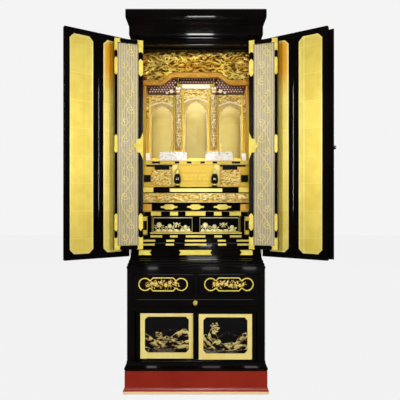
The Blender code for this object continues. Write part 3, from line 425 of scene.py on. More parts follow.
class Look(Enum):
    """The finishes of the cabinet, each with the record's slot that it belongs to."""

    BLACK = (
        PolishedUrushi("polished black urushi", sheen={"Coat Weight": 0.4, "Coat Roughness": 0.02}),
        "black_lacquer",
    )
    DULL_BLACK = (
        PolishedUrushi(
            "flatted black urushi", 0.0, "#030202", "#060505", 0.30, 0.42,
            sheen={"Specular IOR Level": 0.06},
        ),
        "black_lacquer",
    )
    RED = (
        PolishedUrushi(
            "red urushi", 0.0, "#8C1D0C", "#9B2A17", 0.26, 0.40, 0.00003,
            sheen={"Coat Weight": 0.15, "Coat Roughness": 0.2},
        ),
        "red_lacquer",
    )
    LEAF = (GoldLeaf("gold leaf on lacquer", 0.55, "#EAD462", "#DABE4A", "#F2E68C"), "gold_leaf")
    DEEP_LEAF = (GoldLeaf("deep gold leaf", 0.15, "#D4B004", "#C29C04", "#DEC21C"), "gold_leaf")
    # Darker orange towards the top, for the inner door panels.
    SMOKED_LEAF = (
        GoldLeaf("gold leaf toned darker at the top", 0.2, top_tone="#D8940C", top_tone_from=1.20, top_tone_full=1.36),
        "gold_leaf",
    )
    # Paler towards the top: painted light that lifts the shade at the top of the bays.
    BACK_LEAF = (
        GoldLeaf(
            "pale leaf of the back board", 0.15, "#D8CA70", "#CEBA5C", "#E0D488",
            top_tone="#F6E892", top_tone_from=1.21, top_tone_full=1.28,
        ),
        "gold_leaf",
    )
    # Darker orange towards the top: painted shade at the top of the side walls, under the soffit.
    LINING_LEAF = (
        GoldLeaf(
            "gold leaf of the side walls", 0.1, "#F4DC40", "#E6C628", "#FAEC80", top_tone="#DC8C14",
            top_tone_from=1.16, top_tone_full=1.33,
        ),
        "gold_leaf",
    )
    CREAM_LEAF = (GoldLeaf("cream gilt strip", 0.0, "#FFE2A8", "#F8D494", "#FFF0CC"), "gold_leaf")
    FRAME_LEAF = (GoldLeaf("gilt picture frames", 0.05, "#F8E48E", "#F0D876", "#FCF0B4"), "gold_leaf")
    CUSP_LEAF = (GoldLeaf("dull gilt cusps", 0.3, "#CDB058", "#B08E3A", "#DCC47A"), "gold_leaf")
    BAND_LEAF = (GoldLeaf("toned band leaf", 0.6, "#CC8C20", "#A86C12", "#D8A040"), "gold_leaf")
    PALE_LEAF = (GoldLeaf("pale gold leaf", 0.25, "#EADB80", "#E0CB68", "#F2E69C"), "gold_leaf")
    AMBER_LEAF = (GoldLeaf("toned gold leaf", 0.45, "#D8AC36", "#C08E24", "#E0BC54"), "gold_leaf")
    CARVED = (CarvedGilt("carved and gilt wood", 0.7), "carved_gold")
    CARVED_PALE = (
        CarvedGilt("pale gilt carving", 0.12, "#A8803A", "#E4CC88", "#FBF0C8", "#FFFEF4"),
        "carved_gold",
    )
    CARVED_LIGHT = (
        CarvedGilt("light gilt carving", 0.4, "#B0741A", "#DDAE38", "#EBD06A", "#F8ECB4"),
        "carved_gold",
    )
    COLUMN = (CarvedGilt("pale gilt knots", 0.15, "#7A5418", "#D2AE5C", "#F2DFA0", "#FFFAE0"), "carved_gold")
    CENTRE_CARVING = (
        CarvedGilt("deep gilt carving", 0.15, "#B48A0C", "#CCA614", "#DDBB28", "#EACC50"),
        "carved_gold",
    )
    PICTURE = (
        CarvedGilt("raised gold picture", 0.12, "#A88A30", "#E0CC70", "#F6EA9C", "#FFFAD0"),
        "carved_gold",
    )
    BAND_CARVING = (
        CarvedGilt("toned band carving", 0.5, "#9A5E0C", "#B87C18", "#CC9028", "#E0B050"),
        "carved_gold",
    )
    FOLIAGE = (CarvedGilt("gilt foliage", 0.4, "#3A2008", "#B8841C", "#E2C860", "#F4E69C"), "carved_gold")
    BRASS = (GiltBrass("gilt brass fittings", 0.45, "#D6C44C", "#B09428", sheen={"Roughness": 0.46}), "brass")
    STAR = (GiltBrass("gilt brass stars", 0.35, "#B8A20A", "#A08A08", sheen={"Roughness": 0.50}), "brass")
    STRAP = (GiltBrass("gilt brass straps", 0.15, "#F0DC5C", "#D8BC3C", sheen={"Roughness": 0.42}), "brass")
    GAUZE = (RibbedGauze("ribbed silk gauze", sheen={"Roughness": 0.8}), "gauze")
    BRACKET = (PaintedWood("painted bracket wood", sheen={"Roughness": 0.45}), "bracket_wood")
    BLOCK_END = (
        PaintedWood("pink block ends", 0.0, "#C08068", "#F8D8C4", 0.003, sheen={"Roughness": 0.5}),
        "bracket_wood",
    )
    WHITE = (CarvedGilt("whitened carving", 0.0, "#F0E4D2", "#FCF6EC", "#FFFDF8", "#FFFFFF"), "carved_white")
    STEEL = (
        PaintedWood("brushed grey metal", 1.0, "#7C7A76", "#A6A49F", 0.02, sheen={"Roughness": 0.35}),
        "grey_metal",
    )
    POWDER = (SprinkledGold("sprinkled gold on lacquer"), "gold_leaf")

    def material(self) -> bpy.types.Material:
        """Returns the look's material, made the first time that it is asked for."""
        finish = self.value[0]
        return bpy.data.materials.get(finish.name) or finish.make()


def show(name: str, data: bpy.types.ID) -> bpy.types.Object:
    """Puts a mesh, light or camera into the scene.

    Args:
        name: the object's name.
        data: the mesh, light or camera.

    Returns:
        The object.
    """
    made = bpy.data.objects.new(name, data)
    bpy.context.scene.collection.objects.link(made)
    return made


def dress(look: Look, *nodes: str) -> None:
    """Gives CAD nodes a finish in all their material slots.

    Args:
        look: the finish.
        nodes: the nodes' names.
    """
    for name in nodes:
        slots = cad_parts[name].data.materials
        for i in range(len(slots)):
            slots[i] = look.material()
    LOG.info("%s on %s", look.name, ", ".join(nodes))


# Meshes


class Maker:
    """Gathers the faces of one piece, then makes its object."""

    def __init__(self) -> None:
        """Starts with nothing gathered."""
        self.points: list[Spot] = []
        self.faces: list[tuple[int, ...]] = []
        self.carve: list[float] = []
        self.smooth: list[bool] = []

    def gather(
        self, points: Iterable, faces: Iterable, place: Matrix, smooth: bool = False,
        carve: Sequence[float] | None = None,
    ) -> None:
        """Adds points and faces, given on a face, to the piece.

        Args:
            points: the points, on the face.
            faces: rows of point numbers.
            place: the face.
            smooth: whether the faces are shaded smooth.
            carve: each point's height in the carving, from 0 to 1, or None for all ridge.
        """
        start = len(self.points)
        array = np.array([tuple(p) for p in points], dtype=float)
        moved = array @ np.array(place.to_3x3()).T + np.array(place.translation)
        self.points += [tuple(p) for p in moved.tolist()]
        added = [tuple(start + i for i in face) for face in faces]
        self.faces += added
        self.smooth += [smooth] * len(added)
        self.carve += list(carve) if carve is not None else [RIDGE] * len(array)

    def plate(
        self, outline: Outline, low: float, high: float, place: Matrix, edge: float = 0.0004,
        carve: float = RIDGE,
    ) -> None:
        """Adds a flat plate with a small chamfer round its outer face.

        Args:
            outline: the plate's outline on the face, anticlockwise.
            low: how far out of the face its back stands.
            high: how far out of the face its front stands.
            place: the face.
            edge: the chamfer.
            carve: the height in the carving that its colour answers to.
        """
        count = len(outline)
        edge = min(edge, (high - low) * 0.8)
        back = [(x, -low, z) for x, z in outline]
        rim = [(x, -high + edge, z) for x, z in outline]
        front = [(x, -high, z) for x, z in shrink(outline, edge)]
        faces = [tuple(range(2 * count, 3 * count)), tuple(range(count - 1, -1, -1))]
        for k in range(2):
            for i in range(count):
                j = (i + 1) % count
                faces.append((k * count + i, k * count + j, (k + 1) * count + j, (k + 1) * count + i))
        self.gather(back + rim + front, faces, place, carve=[carve] * (3 * count))

    def bar(
        self, x_low: float, x_high: float, z_low: float, z_high: float, low: float, high: float,
        place: Matrix, edge: float = 0.0004,
    ) -> None:
        """Adds a bar between low and high out of a face, as a plate with four corners."""
        corners = [(x_low, z_low), (x_high, z_low), (x_high, z_high), (x_low, z_high)]
        self.plate(corners, low, high, place, edge)

    def tube(
        self, path: Sequence[Sequence[float]], radius: float, place: Matrix, sides: int = 8,
        closed: bool = False, squash: float = 1.0,
    ) -> None:
        """Adds a rounded bead along a path.

        Args:
            path: the middle of the bead, on the face.
            radius: its radius.
            place: the face.
            sides: the sides of its section.
            closed: whether the path joins up.
            squash: the section's depth against its width.
        """
        middle = np.array(path, dtype=float)
        count = len(middle)
        ahead = np.roll(middle, -1, 0) - np.roll(middle, 1, 0)
        if not closed:
            ahead[0], ahead[-1] = middle[1] - middle[0], middle[-1] - middle[-2]
        ahead /= np.maximum(np.linalg.norm(ahead, axis=1, keepdims=True), 1e-9)
        out = np.tile([0.0, -1.0, 0.0], (count, 1))
        upright = np.abs(ahead[:, 1]) > 0.9
        out[upright] = [1.0, 0.0, 0.0]
        across = np.cross(ahead, out)
        across /= np.maximum(np.linalg.norm(across, axis=1, keepdims=True), 1e-9)
        out = np.cross(across, ahead)
        angles = np.arange(sides) * 2 * math.pi / sides
        ring = np.cos(angles)[None, :, None] * across[:, None, :]
        ring = ring + squash * np.sin(angles)[None, :, None] * out[:, None, :]
        points = (middle[:, None, :] + radius * ring).reshape(-1, 3)
        faces = []
        for i in range(count if closed else count - 1):
            j = (i + 1) % count
            for k in range(sides):
                m = (k + 1) % sides
                faces.append((i * sides + k, i * sides + m, j * sides + m, j * sides + k))
        if not closed:
            faces.append(tuple(range(sides - 1, -1, -1)))
            faces.append(tuple((count - 1) * sides + k for k in range(sides)))
        self.gather(points, faces, place, True)

    def dome(
        self, x: float, z: float, radius: float, rise: float, low: float, place: Matrix, sides: int = 10,
        carve: float = 0.8,
    ) -> None:
        """Adds a round-headed nail or bead that stands on the face.

        Args:
            x: its middle along the face.
            z: its middle up the face.
            radius: its radius.
            rise: how far its crown stands out of its foot.
            low: how far out of the face its foot stands.
            place: the face.
            sides: the sides of its rim.
            carve: the height in the carving that its colour answers to.
        """
        points, faces = [(x, -low - rise, z)], []
        for turn in (0.35, 0.7, 1.0):
            bend = turn * math.pi / 2
            for i in range(sides):
                a = 2 * math.pi * i / sides
                reach = radius * math.sin(bend)
                side = (reach * math.cos(a), reach * math.sin(a))
                points.append((x + side[0], -low - rise * math.cos(bend), z + side[1]))
        for i in range(sides):
            j = (i + 1) % sides
            faces.append((0, 1 + j, 1 + i))
            for k in range(2):
                a, b = 1 + k * sides, 1 + (k + 1) * sides
                faces.append((a + i, a + j, b + j, b + i))
        faces.append(tuple(1 + 2 * sides + i for i in range(sides)))
        self.gather(points, faces, place, True, [carve] * len(points))

    def turn(self, profile: Sequence[Span], steps: int, place: Matrix) -> None:
        """Adds a turned form.

        Args:
            profile: pairs of radius and height, from the foot up.
            steps: the sides of its round.
            place: the place whose z axis is spun about.
        """
        points = []
        for radius, height in profile:
            for i in range(steps):
                a = 2 * math.pi * i / steps
                points.append((radius * math.cos(a), radius * math.sin(a), height))
        faces = []
        for k in range(len(profile) - 1):
            for i in range(steps):
                j = (i + 1) % steps
                faces.append((k * steps + i, k * steps + j, (k + 1) * steps + j, (k + 1) * steps + i))
        faces.append(tuple(range(steps - 1, -1, -1)))
        faces.append(tuple((len(profile) - 1) * steps + i for i in range(steps)))
        self.gather(points, faces, place, True)

    def finish(self, name: str, look: Look, body: str = "cabinet") -> None:
        """Makes the object, gives it its finish and fixes it to a body.

        Args:
            name: the piece's name.
            look: its finish.
            body: the CAD body that it rides on.
        """
        mesh = bpy.data.meshes.new(name)
        mesh.from_pydata(self.points, [], self.faces)
        mesh.polygons.foreach_set("use_smooth", self.smooth)
        layer = mesh.attributes.new("carve", "FLOAT", "POINT")
        layer.data.foreach_set("value", self.carve)
        mesh.materials.append(look.material())
        mesh.validate()
        mesh.update()
        made = show(name, mesh)
        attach(made, body)
        LOG.info("%s: %s on %s, %d faces", name, look.name, body, len(self.faces))


def shrink(outline: Outline, inset: float) -> Outline:
    """Moves an outline in, corner by corner.

    Args:
        outline: the outline, anticlockwise.
        inset: how far it moves, small beside its edges.

    Returns:
        The smaller outline.
    """
    points = np.array(outline, dtype=float)
    before = points - np.roll(points, 1, 0)
    after = np.roll(points, -1, 0) - points
    normals = []
    for edge in (before, after):
        edge = edge / np.maximum(np.linalg.norm(edge, axis=1, keepdims=True), 1e-9)
        normals.append(np.stack((-edge[:, 1], edge[:, 0]), 1))
    total = normals[0] + normals[1]
    scale = 2.0 / np.maximum((total**2).sum(1), 0.8)
    return [tuple(p) for p in (points + inset * total * scale[:, None]).tolist()]


def facing(depth: float) -> Matrix:
    """The upright face that looks out of the cabinet at a depth behind its front frame."""
    return Matrix.Translation((0, FRONT_Y + depth, 0))


def chamfered(x_low: float, x_high: float, z_low: float, z_high: float, corner: float) -> Outline:
    """Makes a rectangle with its four corners cut off.

    Args:
        x_low: its left side.
        x_high: its right side.
        z_low: its foot.
        z_high: its top.
        corner: how much is cut off along each side.

    Returns:
        The outline, anticlockwise.
    """
    low = [(x_low + corner, z_low), (x_high - corner, z_low), (x_high, z_low + corner)]
    high = [(x_high, z_high - corner), (x_high - corner, z_high), (x_low + corner, z_high)]
    return low + high + [(x_low, z_high - corner), (x_low, z_low + corner)]


def fishtail(
    x_low: float, x_high: float, z_low: float, z_high: float, notch: float, left: bool, right: bool
) -> Outline:
    """Makes a strap plate with a swallow-tail cut in its ends.

    Args:
        x_low: its left end.
        x_high: its right end.
        z_low: its foot.
        z_high: its top.
        notch: how deep the cut is.
        left: whether the left end is cut.
        right: whether the right end is cut.

    Returns:
        The outline, anticlockwise.
    """
    middle = (z_low + z_high) / 2
    outline = [(x_low, z_low), (x_high, z_low)]
    outline += [(x_high - notch, middle)] if right else []
    outline += [(x_high, z_high), (x_low, z_high)]
    return outline + ([(x_low + notch, middle)] if left else [])


class Relief:
    """A carved field: heights on a grid, cut stroke by stroke."""

    def __init__(self, x_low: float, x_high: float, z_low: float, z_high: float, pitch: float) -> None:
        """Starts flat.

        Args:
            x_low: the field's left side.
            x_high: its right side.
            z_low: its foot.
            z_high: its top.
            pitch: how far apart its points lie.
        """
        self.x = np.linspace(x_low, x_high, max(2, round((x_high - x_low) / pitch) + 1))
        self.z = np.linspace(z_low, z_high, max(2, round((z_high - z_low) / pitch) + 1))
        self.tall = np.zeros((len(self.z), len(self.x)))

    def grid(self) -> tuple[np.ndarray, np.ndarray]:
        """Returns the places of all grid points, along and up the field."""
        return tuple(np.meshgrid(self.x, self.z))

    def dab(self, x: float, z: float, radius: float, tall: float) -> None:
        """Raises one round lump.

        Args:
            x: its middle along the field.
            z: its middle up the field.
            radius: its radius.
            tall: its height.
        """
        i0, i1 = np.searchsorted(self.x, (x - radius, x + radius))
        j0, j1 = np.searchsorted(self.z, (z - radius, z + radius))
        if i1 <= i0 or j1 <= j0:
            return
        far = ((self.x[i0:i1][None, :] - x) ** 2 + (self.z[j0:j1][:, None] - z) ** 2) / radius**2
        rise = tall * np.sqrt(np.clip(1 - far, 0, 1))
        self.tall[j0:j1, i0:i1] = np.maximum(self.tall[j0:j1, i0:i1], rise)

    def stroke(self, path: Sequence[Span], radii: Sequence[float], tall: float) -> None:
        """Raises a ridge along a path, its height in step with its width.

        Args:
            path: the middle of the ridge.
            radii: its half width at each point.
            tall: its height where it is widest.
        """
        most = max(radii)
        for (x, z), radius in zip(path, radii):
            self.dab(x, z, radius, tall * (0.35 + 0.65 * radius / most))

    def curl(
        self, x: float, z: float, radius: float, start: float, hand: int, thick: float, tall: float,
        turns: float = 1.35,
    ) -> None:
        """Raises a spiral curl that tightens towards its middle.

        Args:
            x: its middle along the field.
            z: its middle up the field.
            radius: how far from the middle it starts.
            start: the angle at which it starts.
            hand: one for anticlockwise, minus one for clockwise.
            thick: the half width of its ridge.
            tall: its height.
            turns: how often it goes round.
        """
        steps = int(26 * turns)
        path, radii = [], []
        for i in range(steps + 1):
            t = i / steps
            a = start + hand * t * turns * 2 * math.pi
            reach = radius * (1 - t) ** 0.85
            path.append((x + reach * math.cos(a), z + reach * math.sin(a)))
            radii.append(thick * (0.55 + 0.45 * math.sin(math.pi * (0.15 + 0.8 * t))))
        self.stroke(path, radii, tall)
        self.dab(x, z, thick * 1.15, tall * 1.1)

    def leaf(
        self, x: float, z: float, length: float, width: float, angle: float, tall: float, bend: float = 0.5
    ) -> None:
        """Raises a bent, pointed leaf.

        Args:
            x: its stalk's end along the field.
            z: its stalk's end up the field.
            length: its length.
            width: its width.
            angle: the way it sets out.
            tall: its height.
            bend: how far it turns from stalk to tip.
        """
        steps = 14
        path, radii = [], []
        a, px, pz = angle, x, z
        for i in range(steps + 1):
            t = i / steps
            path.append((px, pz))
            radii.append(max(0.12, math.sin(math.pi * min(1.0, 0.12 + 0.88 * t)) ** 0.8) * width / 2)
            a += bend / steps
            px += math.cos(a) * length / steps
            pz += math.sin(a) * length / steps
        self.stroke(path, radii, tall)

    def peony(self, x: float, z: float, radius: float, tall: float, turn: float) -> None:
        """Raises a full flower: three rings of petals, each ring above the last.

        Args:
            x: its middle along the field.
            z: its middle up the field.
            radius: its radius.
            tall: its height.
            turn: the angle by which it is turned.
        """
        for petals, reach, size, rise in ((9, 0.76, 0.25, 0.70), (6, 0.44, 0.22, 0.85), (3, 0.15, 0.17, 1.0)):
            for i in range(petals):
                a = turn + 2 * math.pi * (i + 0.5 * (petals % 4)) / petals
                spot = (x + radius * reach * math.cos(a), z + radius * reach * math.sin(a))
                self.dab(*spot, radius * size, tall * rise)

    def gather(
        self, maker: Maker, place: Matrix, base: np.ndarray | float = 0.0, keep: np.ndarray | None = None,
        least: float = 0.0, top: float | None = None, tone: np.ndarray | None = None,
    ) -> None:
        """Adds the carved field to a piece.

        Args:
            maker: the piece.
            place: the face that the field lies on.
            base: how far out of the face the ground of the carving stands.
            keep: which grid points may be used, or None for all.
            least: the height under which the carving is pierced.
            top: the height that counts as the crest, or None for the highest.
            tone: how much of its colour each grid point keeps, or None for all.
        """
        used = self.tall >= least
        if keep is not None:
            used &= keep
        rows, cols = self.tall.shape
        gx, gz = self.grid()
        out = self.tall + base
        points = np.stack((gx.ravel(), -out.ravel(), gz.ravel()), 1)
        index = np.arange(rows * cols).reshape(rows, cols)
        cell = used[:-1, :-1] & used[1:, :-1] & used[:-1, 1:] & used[1:, 1:]
        quads = np.stack((index[:-1, :-1], index[:-1, 1:], index[1:, 1:], index[1:, :-1]), -1)[cell]
        kept, inverse = np.unique(quads, return_inverse=True)
        crest = top or max(float(self.tall.max()), 1e-6)
        shade = np.clip(self.tall.ravel()[kept] / crest, 0, 1)
        if tone is not None:
            shade *= tone.ravel()[kept]
        if len(kept):
            maker.gather(points[kept], inverse.reshape(-1, 4).tolist(), place, True, shade.tolist())


def scrolls(field_: Relief, seed: int, size: float, tall: float, thick: float) -> None:
    """Fills a field with a close growth of curls, leaves and small flowers.

    Args:
        field_: the field to fill.
        seed: the number that fixes this layout.
        size: the radius of a curl.
        tall: the height of the highest ridges.
        thick: the half width of a ridge.
    """
    draw = np.random.default_rng(seed)
    pitch = size * 1.75
    wide = field_.x[-1] - field_.x[0]
    high = field_.z[-1] - field_.z[0]
    rows, cols = max(1, round(high / pitch)), max(1, round(wide / pitch))
    for r in range(rows):
        for c in range(cols + 1):
            x = field_.x[0] + (c + (0.5 if r % 2 else 0.0)) * wide / cols + draw.normal(0, size * 0.12)
            z = field_.z[0] + (r + 0.5) * high / rows + draw.normal(0, size * 0.12)
            hand = 1 if (r + c) % 2 else -1
            start = draw.uniform(0, 2 * math.pi)
            reach = size * draw.uniform(0.85, 1.1)
            field_.curl(x, z, reach, start, hand, thick, tall * draw.uniform(0.7, 1.0))
            for _ in range(2):
                a = draw.uniform(0, 2 * math.pi)
                at = (x + size * math.cos(a), z + size * math.sin(a))
                rise = tall * draw.uniform(0.4, 0.8)
                field_.leaf(*at, size * 1.1, thick * 2.2, a + hand * 0.9, rise, hand * 0.9)


def clouds(field_: Relief, seed: int, rows: int, cols: int, thick: float, tall: float) -> None:
    """Fills a field with long drifting clouds and foliage, whose heads curl over.

    Args:
        field_: the field to fill.
        seed: the number that fixes this layout.
        rows: the rows of clouds.
        cols: the clouds in a row.
        thick: the half width of the thickest part.
        tall: the height of the highest ridges.
    """
    draw = np.random.default_rng(seed)
    wide, high = field_.x[-1] - field_.x[0], field_.z[-1] - field_.z[0]
    for r in range(rows):
        for c in range(cols):
            x = field_.x[0] + (c + 0.5 * (r % 2) + draw.uniform(-0.3, 0.2)) * wide / cols
            z = field_.z[0] + (r + 0.5 + draw.uniform(-0.22, 0.22)) * high / rows
            long = wide / cols * draw.uniform(0.75, 1.15)
            outward = 1 if x > (field_.x[0] + field_.x[-1]) / 2 else -1
            angle = draw.normal(0.0, 0.38) + outward * 0.22 * math.sin(7 * z / high)
            bend = draw.normal(0.0, 1.1)
            rise = draw.uniform(0.6, 1.0)
            path, radii = [], []
            for k in range(25):
                t = k / 24
                path.append((x, z))
                radii.append(thick * (0.18 + 0.82 * math.sin(math.pi * min(1.0, 0.1 + 0.95 * t)) ** 0.7))
                heading = angle + bend * (t - 0.5)
                x += math.cos(heading) * long / 24
                z += math.sin(heading) * long / 24
            field_.stroke(path, radii, tall * rise)
            if (r + c) % 3 == 0:
                hand = 1 if bend > 0 else -1
                z += hand * thick * 1.6
                field_.curl(x, z, thick * 2.1, -hand * math.pi / 2, hand, thick * 0.55, tall * rise, 1.1)


def mottle(rows: int, cols: int, seed: int, first: int) -> np.ndarray:
    """Makes soft noise from 0 to 1 on a grid, in four octaves.

    Args:
        rows: the grid's rows.
        cols: the grid's columns.
        seed: the number that fixes it.
        first: the lumps across the grid in the coarsest octave.

    Returns:
        The noise, one value a grid point.
    """
    draw = np.random.default_rng(seed)
    total = np.zeros((rows, cols))
    for octave in range(4):
        count = first * 2**octave
        lumps = draw.random((count + 1, count + 1))
        v, u = np.linspace(0, count, rows), np.linspace(0, count, cols)
        across = np.stack([np.interp(u, np.arange(count + 1), row) for row in lumps])
        total += 0.5**octave * np.stack([np.interp(v, np.arange(count + 1), col) for col in across.T], 1)
    return (total - total.min()) / (total.max() - total.min())


# The leaf of a door, found from its own solid


@dataclass(frozen=True)
class Panel:
    """A flat upright node: its face towards the viewer, how wide and how high it is."""

    place: Matrix
    half: float
    low: float
    high: float

    @classmethod
    def of(cls, node: str, back: bool = False) -> Panel:
        """Finds the panel in a node's mesh.

        Args:
            node: the CAD node.
            back: whether the face away from the viewer is meant.

        Returns:
            The panel, x from -half to half along its face, z as in the cabinet.
        """
        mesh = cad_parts[node].data
        points = np.empty(len(mesh.vertices) * 3)
        mesh.vertices.foreach_get("co", points)
        points = points.reshape(-1, 3)
        flat = points[:, :2]
        middle = (flat.min(0) + flat.max(0)) / 2
        along = np.linalg.svd(flat - flat.mean(0), full_matrices=False)[2][0]
        into = np.array((-along[1], along[0]))
        if into[1] < 0:
            into = -into
        if back:
            into = -into
        along = np.array((into[1], -into[0]))
        reach = flat @ along
        depth = flat @ into
        centre = along * (reach.min() + reach.max()) / 2 + into * depth.min()
        rows = [(along[i], into[i], 0, centre[i]) for i in range(2)] + [(0, 0, 1, 0), (0, 0, 0, 1)]
        low, high = float(points[:, 2].min()), float(points[:, 2].max())
        return cls(Matrix(rows), float(reach.max() - reach.min()) / 2, low, high)

    def inside(self, inset: float, corner: float) -> Outline:
        """Makes an outline an inset inside the panel's edge, with its corners cut off."""
        return chamfered(-self.half + inset, self.half - inset, self.low + inset, self.high - inset, corner)


# Sub-assemblies


@dataclass
class OuterDoors:
    """The four lacquered leaves with their gilt panels and outside mouldings.

    A door shuts 0.6 mm off the case, so its beads stand only 0.3 mm out of the gilt.
    """

    beads: tuple[Spot, ...] = ((0.0020, 0.0060, 0.30), (0.0085, 0.0009, 0.50))
    bead_sunk: float = 0.0003
    gilt_corner: float = 0.016
    mouldings: tuple[float, ...] = (0.024, 0.029)
    moulding_radius: float = 0.0016

    def build(self) -> None:
        """Dresses the leaves, then adds the beads and outside mouldings."""
        for side in SIDES:
            for leaf in ("inner", "fold"):
                dress(Look.BLACK, f"outer_door_{side}_{leaf}")
                dress(Look.SMOKED_LEAF if leaf == "inner" else Look.LEAF, f"gilt_panel_{side}_{leaf}")
                body = f"outer_{side}" + ("_fold" if leaf == "fold" else "")
                self.bead(side, leaf, body)
                self.outside(side, leaf, body)
        dress(Look.BLACK, "meeting_strip")
        dress(Look.STEEL, "door_knob")

    def bead(self, side: str, leaf: str, body: str) -> None:
        """Lays gilt beads in the joint round a gilt panel.

        Args:
            side: left or right.
            leaf: inner or fold.
            body: the CAD body of the leaf.
        """
        gilt = Panel.of(f"gilt_panel_{side}_{leaf}")
        maker = Maker()
        for inset, radius, squash in self.beads:
            outline = gilt.inside(inset, self.gilt_corner)
            path = [(x, radius * squash - self.bead_sunk, z) for x, z in outline]
            maker.tube(path, radius, gilt.place, 10, True, squash)
        maker.finish(f"gilt_bead_{side}_{leaf}", Look.PALE_LEAF, body)

    def outside(self, side: str, leaf: str, body: str) -> None:
        """Adds the raised lacquer moulding on a leaf's outside.

        Args:
            side: left or right.
            leaf: inner or fold.
            body: the CAD body of the leaf.
        """
        door = Panel.of(f"outer_door_{side}_{leaf}", back=True)
        maker = Maker()
        for inset in self.mouldings:
            outline = door.inside(inset, 0.004)
            maker.tube([(x, 0.0, z) for x, z in outline], self.moulding_radius, door.place, 8, True, 0.5)
        maker.finish(f"outside_moulding_{side}_{leaf}", Look.BLACK, body)


@dataclass
class GauzeDoors:
    """The folding gauze leaves: cloth with gold arabesques, and chased fittings on their stiles."""

    corner_arm: float = 0.025
    fold_stile: float = 0.012
    free_stile: float = 0.019
    rail: float = 0.017
    sheet_thick: float = 0.0009
    straps: tuple[Span, ...] = ((1.310, 1.384), (0.680, 0.753))
    fold_straps: tuple[Span, ...] = ((0.995, 1.071),)
    nail_inset: float = 0.016
    vine_step: float = 0.112

    def build(self) -> None:
        """Dresses each leaf and adds its vine and fittings."""
        for side, sign in SIDES.items():
            for leaf in ("inner", "fold"):
                dress(Look.BLACK, f"gauze_frame_{side}_{leaf}")
                dress(Look.GAUZE, f"gauze_{side}_{leaf}")
            dress(Look.STAR, f"ornament_{side}")
            body = f"gauze_{side}_fold"
            self.vine(side, body)
            self.fittings(side, sign, body)

    def vine(self, side: str, body: str) -> None:
        """Adds gold arabesque stems with curls, printed and couched on the gauze.

        Args:
            side: left or right.
            body: the CAD body of the folding leaf.
        """
        cloth = Panel.of(f"gauze_{side}_fold")
        maker = Maker()
        sway = cloth.half * 0.62
        count = round((cloth.high - cloth.low) / self.vine_step)
        step = (cloth.high - cloth.low) / count
        stem = []
        for i in range(count * 16 + 1):
            t = i / 16
            stem.append((sway * math.sin(math.pi * t), -0.0005, cloth.low + t * step))
        maker.tube(stem, 0.0011, cloth.place, 6, False, 0.5)
        maker.tube([(-0.8 * x, y, z) for x, y, z in stem], 0.0008, cloth.place, 6, False, 0.5)
        for i in range(count):
            for hand in (-1, 1):
                z = cloth.low + (i + (0.30 if hand > 0 else 0.72)) * step
                x = hand * sway * 0.45 * (1 if i % 2 else -1)
                radius = cloth.half * 0.40
                curl = []
                for k in range(29):
                    t = k / 28
                    a = math.radians(200 if hand > 0 else -20) + hand * t * 8.2
                    reach = radius * (1 - t) ** 0.7
                    curl.append((x + reach * math.cos(a), -0.0005, z + reach * math.sin(a)))
                maker.tube(curl, 0.0010, cloth.place, 6, False, 0.5)
                maker.dome(x, z, 0.0022, 0.0008, 0.0, cloth.place, 8)
        maker.finish(f"gauze_vine_{side}_fold", Look.PALE_LEAF, body)

    def fittings(self, side: str, sign: int, body: str) -> None:
        """Adds corner plates and straps of gilt brass on both stiles.

        Args:
            side: left or right.
            sign: minus one on the left, one on the right.
            body: the CAD body of the leaf.
        """
        frame = Panel.of(f"gauze_frame_{side}_fold")
        free = -sign  # the free stile's side of the face, nearer to the middle of the cabinet
        maker = Maker()
        thick = self.sheet_thick
        outer, inner = free * frame.half, free * (frame.half - self.free_stile)
        far, near = -free * frame.half, -free * (frame.half - self.fold_stile)
        for a, b, wide in ((outer, inner, self.free_stile), (far, near, self.fold_stile)):
            x_low, x_high = sorted((a, b))
            towards = 1 if b > a else -1
            for z_end, up in ((frame.low, 1), (frame.high, -1)):
                arm = a + towards * self.corner_arm
                tip = z_end + up * 0.053
                points = [(a, z_end), (arm, z_end), (arm - towards * 0.004, z_end + up * self.rail / 2)]
                points += [(arm, z_end + up * self.rail), (b, z_end + up * self.rail), (b, tip)]
                points += [((a + b) / 2, tip - up * 0.006), (a, tip)]
                maker.plate(anticlockwise(points), 0.0, thick, frame.place)
            straps = self.straps + (self.fold_straps if wide == self.fold_stile else ())
            for z_low, z_high in straps:
                maker.plate(pointed(x_low, x_high, z_low, z_high), 0.0, thick, frame.place)
                for nail in (z_low + self.nail_inset, z_high - self.nail_inset):
                    maker.dome((x_low + x_high) / 2, nail, 0.0015, 0.001, thick, frame.place)
        maker.finish(f"gauze_fittings_{side}", Look.BRASS, body)


def anticlockwise(points: Outline) -> Outline:
    """Returns the outline so that it runs anticlockwise."""
    area = sum(a[0] * b[1] - b[0] * a[1] for a, b in zip(points, points[1:] + points[:1]))
    return points if area > 0 else points[::-1]


def pointed(x_low: float, x_high: float, z_low: float, z_high: float) -> Outline:
    """Makes an upright strap whose ends run out to a point.

    Args:
        x_low: its left side.
        x_high: its right side.
        z_low: its lower point.
        z_high: its upper point.

    Returns:
        The outline, anticlockwise.
    """
    middle, tip = (x_low + x_high) / 2, (x_high - x_low) * 0.6
    sides = [(x_high, z_low + tip), (x_high, z_high - tip)]
    return [(middle, z_low)] + sides + [(middle, z_high), (x_low, z_high - tip), (x_low, z_low + tip)]


